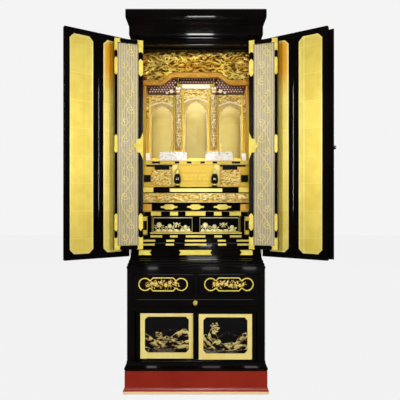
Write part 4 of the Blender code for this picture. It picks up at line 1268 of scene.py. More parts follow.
@dataclass
class Case:
    """The lacquered carcass: cornice, upper and lower case, mouldings and the red plinth."""

    sill_plates: tuple[Span, ...] = ((-0.240, -0.187), (-0.0715, 0.067), (0.1855, 0.2385))
    sill_low: float = 0.575
    sill_high: float = 0.596
    hinge_heights: tuple[float, ...] = (0.605, 1.02, 1.44)
    rail_facets: tuple[Spot, ...] = (
        (-0.0185, 1.4955, 0.0034),
        (-0.0100, 1.4865, 0.0034),
        (0.0012, 1.4602, 0.0014),
        (0.0475, 1.4520, 0.0026),
        (0.0695, 1.4535, 0.0020),
    )
    facet_lean: float = 0.353

    def build(self) -> None:
        """Dresses the carcass and adds the sill plates, polished facets and hinge knuckles."""
        dress(Look.RED, "plinth")
        dress(Look.CREAM_LEAF, "plinth_strip")
        dress(Look.BLACK, "base_moulding", "lower_case", "waist_moulding", "upper_case", "cornice")
        dress(Look.DULL_BLACK, "soffit")
        dress(Look.LINING_LEAF, "side_lining_left", "side_lining_right")
        dress(Look.BACK_LEAF, "back_panel")
        self.sill()
        self.lip()
        self.hinges()

    def lip(self) -> None:
        """Adds the flatted underside of the top rail, and polished facets on it and on the soffit's ribs.

        Each facet leans back by 10 degrees, so that it mirrors the high tube and the flat rail does not.
        """
        low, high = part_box("soffit")
        under, facets = Maker(), Maker()
        under.bar(low.x, high.x, 1.4592, 1.4598, -0.0275, -0.0010, facing(0.0))
        under.finish("top_rail_underside", Look.DULL_BLACK)
        for depth, level, half in self.rail_facets:
            front, back = depth - half, depth + half
            section = [(back, level - half), (front, level - half)]
            section += [(front + self.facet_lean * half, level + half), (back, level + half)]
            points = [(x, y, z) for x in (low.x + 0.001, high.x - 0.001) for y, z in section]
            faces = [(3, 2, 1, 0), (4, 5, 6, 7), (0, 1, 5, 4), (1, 2, 6, 5), (2, 3, 7, 6), (3, 0, 4, 7)]
            facets.gather(points, faces, facing(0.0))
        facets.finish("soffit_beads", Look.BLACK)

    def sill(self) -> None:
        """Three gilt straps on the sill, swallow-tailed where they end on the lacquer."""
        maker = Maker()
        last = len(self.sill_plates) - 1
        for i, (x_low, x_high) in enumerate(self.sill_plates):
            outline = fishtail(x_low, x_high, self.sill_low, self.sill_high, 0.007, i > 0, i < last)
            maker.plate(outline, 0.0, 0.0004, facing(0.0), 0.0002)
        maker.finish("sill_plates", Look.STRAP)

    def hinges(self) -> None:
        """Small hinge knuckles between the case and the outer doors."""
        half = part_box("upper_case")[1].x
        maker = Maker()
        for sign in SIDES.values():
            for height in self.hinge_heights:
                place = Matrix.Translation((sign * (half - 0.004), FRONT_Y + 0.0012, height - 0.022))
                maker.turn([(0.0001, 0.0), (0.0016, 0.0006), (0.0016, 0.0434), (0.0001, 0.044)], 8, place)
        maker.finish("case_hinge_knuckles", Look.BRASS)


@dataclass
class LowerFront:
    """Drawers, tray and sliding doors of the lower case."""

    def build(self) -> None:
        """Dresses each front and adds its gold work."""
        dress(Look.BLACK, "tray", "drawer_left", "drawer_right", "sliding_door_left", "sliding_door_right")
        dress(Look.FRAME_LEAF, "sliding_frame_left", "sliding_frame_right")
        dress(Look.BRASS, "tray_knob")
        dress(Look.STRAP, "drawer_plate_left", "drawer_plate_right")
        for side in SIDES:
            self.foliage(side)
            self.landscape(side)

    def foliage(self, side: str) -> None:
        """Adds a spray of leaves and small flowers in raised gold inside the lobed plate.

        Args:
            side: left or right.
        """
        low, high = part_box(f"drawer_plate_{side}")
        middle, level = (low.x + high.x) / 2, (low.z + high.z) / 2
        field_ = Relief(middle - 0.078, middle + 0.078, level - 0.0215, level + 0.0215, 0.0009)
        draw = np.random.default_rng(11 if side == "left" else 12)
        for _ in range(150):
            x = middle + draw.uniform(-0.070, 0.066)
            near = math.sqrt(max(0.05, 1 - ((x - middle) / 0.078) ** 2))
            z = level - 0.001 + draw.uniform(-0.0155, 0.0155) * near
            angle = draw.uniform(0, 2 * math.pi)
            long, tall = draw.uniform(0.007, 0.012), draw.uniform(0.0005, 0.0011)
            field_.leaf(x, z, long, 0.0036, angle, tall, draw.uniform(-1, 1))
        for i in range(6):
            x = middle + (i - 2.5) * 0.0185 + draw.normal(0, 0.002)
            z = level + draw.normal(0, 0.0045)
            field_.peony(x, z, draw.uniform(0.0068, 0.0088), 0.0016, draw.uniform(0, 1))
        face_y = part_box(f"drawer_{side}")[0].y
        maker = Maker()
        field_.gather(maker, Matrix.Translation((0, face_y - 0.0001, 0)), least=0.00025, top=0.0015)
        maker.finish(f"drawer_foliage_{side}", Look.FOLIAGE, f"drawer_{side}")

    def landscape(self, side: str) -> None:
        """Adds a plain landscape of hills, rocks, a pine and water in sprinkled gold.

        Args:
            side: left or right.
        """
        low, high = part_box(f"sliding_frame_{side}")
        x0, x1 = low.x + 0.0192, high.x - 0.0192
        z0, z1 = low.z + 0.0252, high.z - 0.0142
        field_ = Relief(x0, x1, z0, z1, 0.0008)
        gx, gz = np.meshgrid((field_.x - x0) / (x1 - x0), (field_.z - z0) / (z1 - z0))
        if side == "right":
            gx = 1 - gx
        seed = 31 if side == "left" else 47
        draw = np.random.default_rng(seed)
        coarse = mottle(*gx.shape, seed, 7)
        fine = mottle(*gx.shape, seed + 1, 22)
        shade = np.zeros_like(gx)
        for foot, rise, middle, wide, light, slope in self.hills(side):
            rough = 0.10 * (coarse - 0.5) + 0.030 * (fine - 0.5)
            ridge = foot + rise * np.exp(-(((gx - middle) / wide) ** 2)) + rough
            below = ridge - gz
            folds = np.sin(21 * (gz - slope * gx) + 9 * coarse + 3 * fine)
            body = light * np.clip(1.05 - below / (rise * 0.95), 0, 1) ** 0.5
            body *= np.clip(0.72 + 0.55 * folds + 0.5 * (fine - 0.5), 0.05, 1)
            rim = light * np.exp(-((below / 0.014) ** 2))
            shade = np.where(below > 0, np.maximum(body, rim), shade)
            shade = np.where((below <= 0) & (below > -0.010), shade * 0.1, shade)
        lake = gz < 0.10 + 0.03 * np.sin(5 * gx + seed)
        ripples = 0.65 * (np.sin(240 * gz + 6 * coarse + 4 * gx) > 0.72) * (coarse > 0.42)
        shade = np.where(lake, ripples, shade)
        trunk, root, tall = (0.34, 0.40, 0.16) if side == "left" else (0.74, 0.62, 0.22)
        for _ in range(26):
            z, x = root + tall * draw.uniform(-0.1, 1.0), trunk + draw.normal(0, 0.050)
            far = ((gx - x) / draw.uniform(0.025, 0.055)) ** 2 + ((gz - z) / draw.uniform(0.016, 0.028)) ** 2
            clump = (0.45 + 0.75 * fine) * np.clip(1.1 - far, 0, 1) ** 0.4
            shade = np.where(far < 1, np.where(far > 0.72, 0.12, clump), shade)
        shade = np.clip(shade, 0, 1)
        field_.tall = 0.0009 * shade
        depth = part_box(f"sliding_door_{side}")[0].y + 0.0025
        maker = Maker()
        field_.gather(maker, Matrix.Translation((0, depth, 0)), base=0.0002, top=0.0009)
        maker.finish(f"landscape_{side}", Look.POWDER, f"sliding_{side}")

    def hills(self, side: str) -> tuple[tuple[float, ...], ...]:
        """Lists the hills of a landscape from far to near.

        Args:
            side: left or right.

        Returns:
            Each hill's foot, rise, middle, width, brightness and the slope of its hatching.
        """
        if side == "left":
            return (
                (0.46, 0.16, 0.62, 0.34, 0.45, 0.2),
                (0.36, 0.26, 0.88, 0.24, 0.95, -0.4),
                (0.28, 0.18, 0.46, 0.20, 0.75, 0.5),
                (0.30, 0.22, 0.00, 0.17, 1.00, 0.6),
                (0.12, 0.24, 0.60, 0.20, 0.85, -0.8),
                (0.04, 0.30, 1.02, 0.30, 1.00, -0.3),
            )
        return (
            (0.44, 0.14, 0.40, 0.20, 0.40, 0.3),
            (0.30, 0.26, 0.06, 0.14, 0.85, -0.5),
            (0.24, 0.42, 0.80, 0.13, 1.00, 0.9),
            (0.08, 0.44, 1.00, 0.26, 0.90, 1.3),
            (0.06, 0.30, 0.66, 0.18, 1.00, 0.5),
            (0.06, 0.14, 0.10, 0.16, 0.90, -0.4),
        )


@dataclass
class Transom:
    """The carved valance under the soffit, with the arched band at its foot."""

    cloud_radius: float = 0.027
    cloud_pitch: float = 0.060
    arch_rise: float = 0.034
    band_tall: float = 0.0205
    band_beads: tuple[Span, ...] = ((0.0015, 0.0012), (0.0190, 0.0014), (0.01025, 0.0007))

    def build(self) -> None:
        """Dresses the solid board and lays the carving over it."""
        # The board has no carve heights, so it takes the hollow colour: painted shade seen through the
        # pierced carving.
        dress(Look.CARVED, "transom")
        dress(Look.BAND_LEAF, "transom_band")
        self.carving()
        self.band()

    def carving(self) -> None:
        """Curls, clouds and leaves that follow the board's own swelling clouds."""
        low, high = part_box("transom")
        half = high.x
        crown_z = low.z
        face = FRONT_Y + 0.100
        field_ = Relief(-half + 0.001, half - 0.001, crown_z, high.z - 0.001, 0.0011)
        clouds(field_, 61, 20, 22, 0.0031, 0.0026)
        clouds(field_, 6, 13, 14, 0.0048, 0.0054)
        gx, gz = field_.grid()
        base = np.zeros_like(gx)
        for i in range(4):
            x = self.cloud_pitch * (i + 0.5)
            z = high.z + 0.0004 - 0.052 + (0.016 if i % 2 else -0.012)
            radius = min(self.cloud_radius * (1.0 if i % 2 else 0.85), half - 0.002 - x)
            for sign in SIDES.values():
                far = ((gx - sign * x) ** 2 + (gz - z) ** 2) / radius**2
                base = np.maximum(base, 0.42 * radius * np.sqrt(np.clip(1 - far, 0, 1)))
        side_z = band_line(gx, crown_z, crown_z + self.arch_rise)
        keep = gz > side_z + 0.0015
        # Dims the carving towards orange at the bottom middle: painted shade.
        tone = 1 - 0.42 * np.exp(-((gx / 0.10) ** 2) - (((gz - crown_z - 0.055) / 0.030) ** 2))
        maker = Maker()
        field_.gather(maker, Matrix.Translation((0, face, 0)), base=base, keep=keep, least=0.0009, tone=tone)
        maker.finish("transom_carving", Look.CARVED)

    def band(self) -> None:
        """Three fine beads run along the arched band, with low carving between them."""
        low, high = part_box("transom_band")
        xs = np.linspace(low.x + 0.002, high.x - 0.002, 90)
        top = band_line(xs, high.z - self.arch_rise, high.z)
        maker = Maker()
        place = Matrix.Translation((0, low.y, 0))
        for drop, radius in self.band_beads:
            maker.tube([(x, 0.0, z - drop) for x, z in zip(xs, top)], radius, place, 8, False, 0.8)
        maker.finish("transom_band_beads", Look.AMBER_LEAF)
        field_ = Relief(low.x + 0.002, high.x - 0.002, low.z, high.z, 0.0011)
        clouds(field_, 71, 14, 26, 0.0030, 0.0014)
        gx, gz = field_.grid()
        line = band_line(gx, high.z - self.arch_rise, high.z)
        carving = Maker()
        keep = (gz < line - 0.0024) & (gz > line - self.band_tall + 0.0024)
        field_.gather(carving, place, keep=keep, least=0.0002)
        carving.finish("transom_band_carving", Look.BAND_CARVING)


def band_line(x: np.ndarray, side: float, crown: float) -> np.ndarray:
    """Works out the arched line of the transom's foot: level at the sides, eased up to a level crown.

    Args:
        x: places along the cabinet.
        side: the line's height at the sides.
        crown: its height in the middle.

    Returns:
        The line's height at each place.
    """
    flat, rise_end = 0.157, 0.093
    t = np.clip((flat - np.abs(x)) / (flat - rise_end), 0, 1)
    return side + (crown - side) * (1 - np.cos(math.pi * t)) / 2


@dataclass
class Shrine:
    """The three-bay shrine front with its brackets, columns and carved work."""

    bays: tuple[Spot, ...] = (
        (-0.159, 0.0485, 1.246),
        (0.0, 0.051, 1.265),
        (0.159, 0.0485, 1.246),
    )
    bay_spring: float = 1.184
    bay_peak: float = 0.003
    bay_sill: float = 0.012
    floor: float = 0.9894
    depth: float = 0.200
    thin_columns: tuple[float, ...] = (0.061, 0.101, 0.215)
    thick_column: float = 0.081
    ring_levels: tuple[float, ...] = (0.9925, 1.040, 1.150, 1.250, 1.282)
    cusp_curls: tuple[Span, ...] = ((0.96, 0.0052), (0.82, 0.0060), (0.62, 0.0056))
    block_rows: int = 8
    blocks_across: int = 10

    def build(self) -> None:
        """Dresses the solids, then adds arches, spandrels, blocks, columns and bases."""
        dress(Look.LEAF, "shrine_front")
        dress(Look.BRACKET, "brackets_left", "brackets_right")
        dress(Look.CUSP_LEAF, "carved_column_left", "carved_column_right")
        dress(Look.WHITE, "column_base_left", "column_base_right")
        self.arches()
        self.spandrels()
        self.blocks()
        self.columns()
        self.bases()
        self.lintel()
        self.capitals()
        self.small_ornaments()

    def bay_line(self, centre: float, half: float, crown: float) -> Outline:
        """Draws the edge of one bay.

        Args:
            centre: the bay's middle along the cabinet.
            half: half its width.
            crown: the height of its point.

        Returns:
            The line, from left to right.
        """
        rise = crown - self.bay_peak - self.bay_spring
        left = [(centre - half, self.floor + self.bay_sill)]
        for angle in np.radians(np.linspace(180, 98, 16)):
            left.append((centre + half * math.cos(angle), self.bay_spring + rise * math.sin(angle)))
        return left + [(centre, crown)] + [(2 * centre - x, z) for x, z in reversed(left)]

    def hood(self, centre: float, half: float, crown: float) -> Outline:
        """Draws the shallow ogee line of the moulding over one bay.

        Args:
            centre: the bay's middle along the cabinet.
            half: half its width.
            crown: the height of its point.

        Returns:
            The line, from left to right.
        """
        top, reach = crown + 0.0115, half + 0.004
        line = []
        for t in np.linspace(-1, 1, 33):
            peak = 0.0022 * math.exp(-((t / 0.16) ** 2))
            line.append((centre + reach * t, top - 0.0155 * abs(t) ** 2.1 + peak))
        return line

    def arches(self) -> None:
        """Each bay has a bead on its edge, amber leaf over it and a pale hood moulding above."""
        place = facing(self.depth)
        pale, amber = Maker(), Maker()
        for bay in self.bays:
            line, hood = self.bay_line(*bay), self.hood(*bay)
            pale.tube([(x, -0.0004, z) for x, z in line], 0.0013, place, 8)
            pale.tube([(x, -0.0014, z) for x, z in hood], 0.0023, place, 8)
            pale.tube([(x, -0.0010, z + 0.0042) for x, z in hood], 0.0010, place, 6)
            amber.plate(anticlockwise(line[1:-1] + hood[::-1]), 0.0, 0.0007, place, 0.0002)
            centre, half, crown = bay
            for sign in SIDES.values():
                for share, size in self.cusp_curls:
                    turn = math.acos(share)
                    x = centre + sign * half * share
                    z = self.bay_spring + (crown - self.bay_spring) * math.sin(turn)
                    curl = []
                    for m in range(17):
                        a = math.pi / 2 + sign * m * 0.42
                        reach = size * (1 - m / 17) ** 0.7
                        curl.append((x + reach * math.cos(a), -0.0016, z + 0.002 + reach * math.sin(a)))
                    amber.tube(curl, 0.0010, place, 6)
        pale.finish("bay_mouldings", Look.CARVED_PALE)
        amber.finish("bay_cusps", Look.CUSP_LEAF)

    def spandrels(self) -> None:
        """Carved scrolls fill the wall above the bays; toned strips lie behind the columns."""
        field_ = Relief(-0.230, 0.230, 1.180, 1.3225, 0.0011)
        clouds(field_, 91, 22, 30, 0.0026, 0.0020)
        clouds(field_, 9, 15, 21, 0.0034, 0.0034)
        gx, gz = field_.grid()
        keep = (np.abs(gx) < 0.077) | (gz < 1.2945)
        for centre, half, crown in self.bays:
            top = np.interp(gx, *np.array(self.hood(centre, half, crown)).T)
            keep &= (np.abs(gx - centre) > half + 0.0035) | (gz > top + 0.005)
        gaps = [(x, 0.0050) for x in self.thin_columns] + [(self.thick_column, 0.0155)]
        for x, wide in gaps:
            keep &= np.abs(np.abs(gx) - x) > wide
        maker, toned = Maker(), Maker()
        field_.gather(maker, facing(self.depth), base=0.0003, keep=keep, top=0.0028)
        maker.finish("spandrel_carving", Look.CARVED_LIGHT)
        for sign in SIDES.values():
            for a, b in ((0.0530, 0.1095), (0.2090, 0.2315)):
                toned.bar(*sorted((sign * a, sign * b)), self.floor, 1.295, 0.0, 0.0003, facing(self.depth))
        toned.finish("column_grounds", Look.AMBER_LEAF)

    def blocks(self) -> None:
        """Ends of the bracket blocks, row on row, each with a pink bud; a few rows over the middle bay."""
        buds, wood = Maker(), Maker()
        count = self.blocks_across
        for step in range(self.block_rows):
            row, between = divmod(step, 2)
            level = 1.299 + row * 0.0185 + (0.0145 if between else 0.0052)
            depth = 0.172 - row * 0.009 - (0.003 if between else 0.0)
            inset = 0.004 * (3 - row)
            pitch = (0.146 - 2 * inset) / count
            for k in range(count - between):
                for sign in SIDES.values():
                    x = sign * (0.083 + inset + pitch * (k + 0.5 + 0.5 * between))
                    out = 0.0085 if between else 0.0015
                    place = facing(depth + out - 0.0015)
                    wood.bar(x - 0.0042, x + 0.0042, level - 0.0040, level + 0.0040, 0.0, out, place)
                    buds.dome(x, level, 0.0043, 0.0018, out, place, 8)
        for row in range(3):
            depth = 0.178 - row * 0.008
            z_low = 1.3460 + row * 0.0092
            wood.bar(-0.079, 0.079, z_low, z_low + 0.0060, -0.020, 0.0, facing(depth))
            for i in range(13 - row % 2):
                x = -0.0726 + 0.0121 * (i + 0.5 * (row % 2))
                wood.bar(x - 0.0036, x + 0.0036, z_low - 0.0004, z_low + 0.0066, 0.0, 0.0045, facing(depth))
                buds.dome(x, z_low + 0.0031, 0.0036, 0.0016, 0.0045, facing(depth), 8)
        buds.finish("bracket_buds", Look.BLOCK_END)
        wood.finish("bracket_blocks", Look.BRACKET)

    def capitals(self) -> None:
        """A pale carved scroll block on each thick column, with a round scroll head beside it."""
        maker = Maker()
        place = facing(0.1655)
        for sign in SIDES.values():
            x = sign * self.thick_column
            maker.plate(chamfered(x - 0.0125, x + 0.0125, 1.2960, 1.3270, 0.004), -0.030, 0.0, place)
            block = Relief(x - 0.0135, x + 0.0135, 1.2965, 1.3275, 0.0009)
            block.curl(x - 0.0055, 1.3185, 0.0062, 0.0, -1, 0.0019, 0.0042)
            block.curl(x + 0.0055, 1.3185, 0.0062, math.pi, 1, 0.0019, 0.0042)
            for k in range(3):
                angle = math.pi * (0.25 + 0.25 * k)
                block.leaf(x, 1.2985, 0.013, 0.0058, angle, 0.0036, 0.0)
            block.gather(maker, place, base=0.0002, top=0.0036)
            for head, level, radius in ((0.1120, 1.3040, 0.0092), (0.1320, 1.2970, 0.0064)):
                at = sign * head
                scroll = Relief(at - radius, at + radius, level - radius, level + radius, 0.0008)
                scroll.curl(at, level, radius * 0.72, 0.0, sign, radius * 0.30, 0.0040)
                maker.dome(at, level, radius, 0.0010, 0.0, place, 14, 0.35)
                scroll.gather(maker, place, base=0.0006, least=0.0010)
        maker.finish("column_capitals", Look.CARVED_PALE)

    def small_ornaments(self) -> None:
        """Small gilt scroll pieces stand beside the columns, and white carved blocks at the outer ones."""
        gilt, white = Maker(), Maker()
        for sign in SIDES.values():
            x = sign * 0.1150
            piece = Relief(x - 0.009, x + 0.009, 1.0385, 1.0735, 0.0009)
            piece.curl(x, 1.0650, 0.0052, 0.5, sign, 0.0018, 0.0034)
            piece.curl(x, 1.0530, 0.0044, 2.5, -sign, 0.0018, 0.0034)
            piece.leaf(x - 0.004, 1.0395, 0.012, 0.0050, 1.2, 0.0030, 0.4)
            piece.leaf(x + 0.004, 1.0395, 0.012, 0.0050, 1.9, 0.0030, -0.4)
            piece.gather(gilt, facing(0.1945), base=0.0006, least=0.0004)
            gilt.bar(x - 0.0016, x + 0.0016, 1.030, 1.068, -0.0050, 0.0006, facing(0.1945))
            x, face = sign * 0.2215, facing(0.1900)
            foot = Relief(x - 0.010, x + 0.010, 0.9905, 1.0245, 0.0009)
            scrolls(foot, 18, 0.0060, 0.0030, 0.0017)
            foot.gather(white, face, base=0.0004)
            block = chamfered(x - 0.0095, x + 0.0095, 0.9900, 1.0245, 0.003)
            white.plate(block, -0.0095, 0.0002, face, 0.0001, 0.3)
        gilt.finish("bay_side_scrolls", Look.CARVED)
        white.finish("outer_column_feet", Look.WHITE)

    def columns(self) -> None:
        """Knotted carving winds round both thick columns; thin ones get rings."""
        for side in SIDES:
            low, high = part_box(f"carved_column_{side}")
            x, y = (low.x + high.x) / 2, (low.y + high.y) / 2
            draw = np.random.default_rng(21)
            maker = Maker()
            rows, around = 34, 9
            for r in range(rows):
                z = low.z + 0.006 + (high.z - low.z - 0.012) * r / (rows - 1)
                for k in range(around):
                    a = 2 * math.pi * (k + 0.5 * (r % 2)) / around + draw.normal(0, 0.08)
                    reach = 0.0098 + draw.uniform(0, 0.0012)
                    place = Matrix.Translation((x, y, 0)) @ Matrix.Rotation(a, 4, "Z")
                    size = draw.uniform(0.0030, 0.0044)
                    maker.dome(0.0, z, size, size * 0.75, reach, place, 7, draw.uniform(0.15, 1.0))
            maker.finish(f"column_carving_{side}", Look.COLUMN)
        rings = Maker()
        for x in self.thin_columns:
            for sign in SIDES.values():
                place = Matrix.Translation((sign * x, FRONT_Y + self.depth - 0.001, 0))
                for z in self.ring_levels:
                    ring = [(0.0044, z), (0.0058, z + 0.001), (0.0058, z + 0.0026), (0.0044, z + 0.0036)]
                    rings.turn(ring, 12, place)
        rings.finish("column_rings", Look.PALE_LEAF)

    def bases(self) -> None:
        """Curling carved work over the pale column bases."""
        for side in SIDES:
            low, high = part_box(f"column_base_{side}")
            field_ = Relief(low.x + 0.001, high.x - 0.001, low.z + 0.001, high.z - 0.002, 0.0010)
            clouds(field_, 15 if side == "left" else 16, 5, 10, 0.0040, 0.0040)
            maker = Maker()
            place = Matrix.Translation((0, high.y - 0.0135, 0))
            field_.gather(maker, place, base=0.0004, least=0.0005, top=0.0032)
            maker.finish(f"base_carving_{side}", Look.WHITE)

    def lintel(self) -> None:
        """A bright capping strip on the lintel over the middle bay."""
        place = facing(self.depth - 0.008)
        maker = Maker()
        maker.bar(-0.0640, 0.0640, 1.3245, 1.3440, 0.0, 0.0016, place, 0.0010)
        maker.tube([(-0.067, -0.0018, 1.3232), (0.067, -0.0018, 1.3232)], 0.0016, place, 8)
        maker.finish("lintel_strip", Look.CARVED_PALE)


@dataclass
class Altar:
    """The stepped altar: platform with rail, ledge, carved band, waist, drawers and steps."""

    interior: float = 0.2405
    rail_inlays: tuple[Span, ...] = ((0.0205, 0.0410), (0.0765, 0.0975), (0.165, 0.2035))
    wing_blocks: tuple[tuple[float, ...], ...] = (
        (0.1225, 0.1900, 0.9480, 0.9630, 0.008),
        (0.1100, 0.2280, 0.9625, 0.9690, 0.009),
        (0.2085, 0.2400, 0.891, 0.9235, 0.006),
    )
    centre_lines: tuple[float, ...] = (0.9330, 0.8915, 0.9665)
    wing_lines: tuple[Span, ...] = ((0.1120, 0.1135), (0.2060, 0.2075))
    lozenges: tuple[Span, ...] = ((-0.1210, 0.0400), (-0.002, 0.0400), (0.1190, 0.0415))
    waist_blocks: tuple[Span, ...] = (
        (-0.202, -0.157),
        (-0.117, -0.081),
        (-0.047, 0.043),
        (0.081, 0.115),
        (0.151, 0.202),
    )
    waist_lines: tuple[Span, ...] = ((-0.235, -0.178), (-0.050, 0.044), (0.172, 0.232))
    peonies: tuple[Spot, ...] = (
        (0.13, 0.026, 0.0130),
        (0.40, 0.021, 0.0105),
        (0.62, 0.031, 0.0070),
        (0.84, 0.018, 0.0100),
    )
    low_straps: tuple[Span, ...] = ((0.1765, 0.2315), (0.0940, 0.1290))
    low_middle: Span = (-0.0480, 0.0445)
    high_straps: tuple[Span, ...] = ((0.1495, 0.2010), (0.0808, 0.1143))
    high_middle: Span = (-0.0450, 0.0413)

    def build(self) -> None:
        """Dresses the levels and adds their panels, inlays, straps and drawer pictures."""
        dress(Look.DEEP_LEAF, "altar_platform")
        dress(Look.BLACK, "altar_ledge", "altar_waist", "altar_base", "altar_steps")
        dress(Look.AMBER_LEAF, "altar_band")
        dress(Look.BLACK, "newel_left", "newel_right", "inner_drawer_left", "inner_drawer_right")
        self.platform()
        self.ledge_and_band()
        self.waist()
        self.drawers()
        self.steps()

    def mirrored(self, *spans: Span) -> list[Span]:
        """Returns spans of one side, each with its mirror image after it."""
        return [s for a, b in spans for s in ((a, b), (-b, -a))]

    def platform(self) -> None:
        """Rail inlays, side and centre carvings, corner posts and the newels' gold rings."""
        rail, black = Maker(), Maker()
        place = facing(0.180)
        for a, b in self.mirrored(*self.rail_inlays):
            black.bar(a, b, 0.9755, 0.9855, 0.0, 0.0006, place)
        for low, high, z_low, z_high, out in self.wing_blocks:
            for a, b in self.mirrored((low, high)):
                black.bar(a, b, z_low, z_high, 0.0, out, facing(0.1898))
        black.finish("platform_lacquer_blocks", Look.DULL_BLACK)
        rail.bar(-self.interior, self.interior, 0.9866, 0.9888, 0.0, 0.0012, place)
        rail.bar(-self.interior, self.interior, 0.9722, 0.9742, 0.0, 0.0012, place)
        rail.finish("platform_rail_lines", Look.PALE_LEAF)
        lines = Maker()
        for level in self.centre_lines:
            lines.bar(-0.0745, 0.0745, level, level + 0.0016, 0.0, 0.0006, facing(0.183))
        for a, b in self.mirrored(*self.wing_lines):
            lines.bar(a, b, 0.8740, 0.9480, 0.0, 0.0006, facing(0.185))
        lines.finish("platform_amber_lines", Look.AMBER_LEAF)
        centre, middle = Relief(-0.066, 0.066, 0.8955, 0.9305, 0.0011), Maker()
        scrolls(centre, 25, 0.0085, 0.0014, 0.0020)
        ground = Maker()
        ground.bar(-0.0675, 0.0675, 0.8950, 0.9310, 0.0, 0.0006, facing(0.183))
        ground.finish("platform_centre_field", Look.DEEP_LEAF)
        centre.gather(middle, facing(0.1824), base=0.0001, least=0.0003, top=0.0014)
        middle.finish("platform_centre_carving", Look.CENTRE_CARVING)
        maker = Maker()
        for sign in SIDES.values():
            low, high = sorted((sign * 0.1145, sign * 0.205))
            wing = Relief(low, high, 0.8745, 0.9470, 0.0010)
            clouds(wing, 36 + sign, 12, 7, 0.0026, 0.0020)
            clouds(wing, 26 + sign, 8, 5, 0.0038, 0.0036)
            wing.gather(maker, facing(0.185), base=0.0002, top=0.0034)
        maker.finish("platform_carving", Look.CARVED_LIGHT)
        self.newels()

    def newels(self) -> None:
        """Round black bulbs on the newels, gilt buds and rings on them, and gilt corner posts."""
        gold, bulbs = Maker(), Maker()
        bulb = [(0.0080, 0.0160), (0.0130, 0.0180), (0.0155, 0.0215), (0.0165, 0.0290)]
        bulb += [(0.0165, 0.0400), (0.0150, 0.0490), (0.0105, 0.0565), (0.0050, 0.0590)]
        bud = [(0.0060, 0.0560), (0.0105, 0.0600), (0.0120, 0.0660), (0.0100, 0.0750)]
        bud += [(0.0040, 0.0830), (0.0002, 0.0860)]
        ring = [(0.0131, 0.0075), (0.0136, 0.0081), (0.0136, 0.0120), (0.0131, 0.0126)]
        for sign in SIDES.values():
            newel = Matrix.Translation((sign * 0.085, FRONT_Y + 0.166, 0.8674))
            bulbs.turn(bulb, 20, newel)
            gold.turn(bud, 16, newel)
            gold.turn(ring, 16, newel)
            gold.bar(*sorted((sign * 0.0865, sign * 0.1085)), 0.8760, 0.972, 0.0, 0.0035, facing(0.1898))
        gold.finish("newel_buds_and_posts", Look.PALE_LEAF)
        bulbs.finish("newel_bulbs", Look.BLACK)

    def ledge_and_band(self) -> None:
        """The ledge's gold straps round its two black boxes, and the carved band under it."""
        gold, pale = Maker(), Maker()
        place = facing(0.147)
        for a, b in self.mirrored((0.1935, 0.2395)):
            gold.bar(a, b, 0.8420, 0.8655, 0.0, 0.0010, place)
        pale.bar(-0.119, 0.119, 0.8440, 0.8600, 0.0, 0.0014, facing(0.1430))
        pale.bar(-self.interior, self.interior, 0.7960, 0.7978, 0.0, 0.0012, facing(0.1340))
        pale.finish("ledge_pale_bar", Look.PALE_LEAF)
        gold.finish("ledge_straps", Look.STRAP)
        field_ = Relief(-self.interior + 0.002, self.interior - 0.002, 0.8000, 0.8375, 0.0011)
        clouds(field_, 41, 6, 26, 0.0028, 0.0020)
        clouds(field_, 40, 4, 18, 0.0040, 0.0038)
        gx, gz = field_.grid()
        base = np.zeros_like(gx)
        pitch = 2 * (self.interior + 0.0001 - 0.024) / 10
        for i in range(11):
            x = -self.interior - 0.0001 + 0.024 + pitch * i
            far = ((gx - x) ** 2 + (gz - 0.8188) ** 2) / 0.0175**2
            base = np.maximum(base, 0.34 * 0.0175 * np.sqrt(np.clip(1 - far, 0, 1)))
        maker = Maker()
        field_.gather(maker, facing(0.153), base=base, least=0.0005, top=0.0030)
        maker.finish("band_carving", Look.CARVED_LIGHT)

    def waist(self) -> None:
        """Gold lozenges on the black waist, gold blocks under it and amber ends."""
        gold, amber, pale = Maker(), Maker(), Maker()
        band = facing(0.140)
        for x, half in self.lozenges:
            gold.plate(self.lozenge(x, half, 0.7762, 0.0118), 0.0, 0.0012, band)
        for a, b in self.mirrored((0.200, 0.240)):
            amber.bar(a, b, 0.7590, 0.7895, 0.0, 0.0014, band)
        low = facing(0.132)
        for a, b in self.waist_blocks:
            gold.bar(a, b, 0.7370, 0.7540, 0.0, 0.0010, low)
        pale.bar(-self.interior, self.interior, 0.7563, 0.7575, 0.0, 0.0012, low)
        for a, b in self.waist_lines:
            amber.bar(a, b, 0.7542, 0.7562, 0.0, 0.0010, low)
        gold.finish("waist_lozenges_and_blocks", Look.STRAP)
        amber.finish("waist_amber_ends", Look.AMBER_LEAF)
        pale.finish("waist_pale_line", Look.PALE_LEAF)

    def lozenge(self, x: float, half: float, level: float, rise: float) -> Outline:
        """Draws a long plate: a broad middle drawn out to a narrow swallow tail at both ends.

        Args:
            x: its middle along the cabinet.
            half: half its length.
            level: its middle's height.
            rise: half its width.

        Returns:
            The outline, anticlockwise.
        """
        right = [(0.40, -1.0), (0.64, -0.38), (1.0, -0.30), (0.86, 0.0)]
        right += [(1.0, 0.30), (0.64, 0.38), (0.40, 1.0)]
        left = [(-a, b) for a, b in reversed(right)]
        return [(x + half * a, level + rise * b) for a, b in right + left]

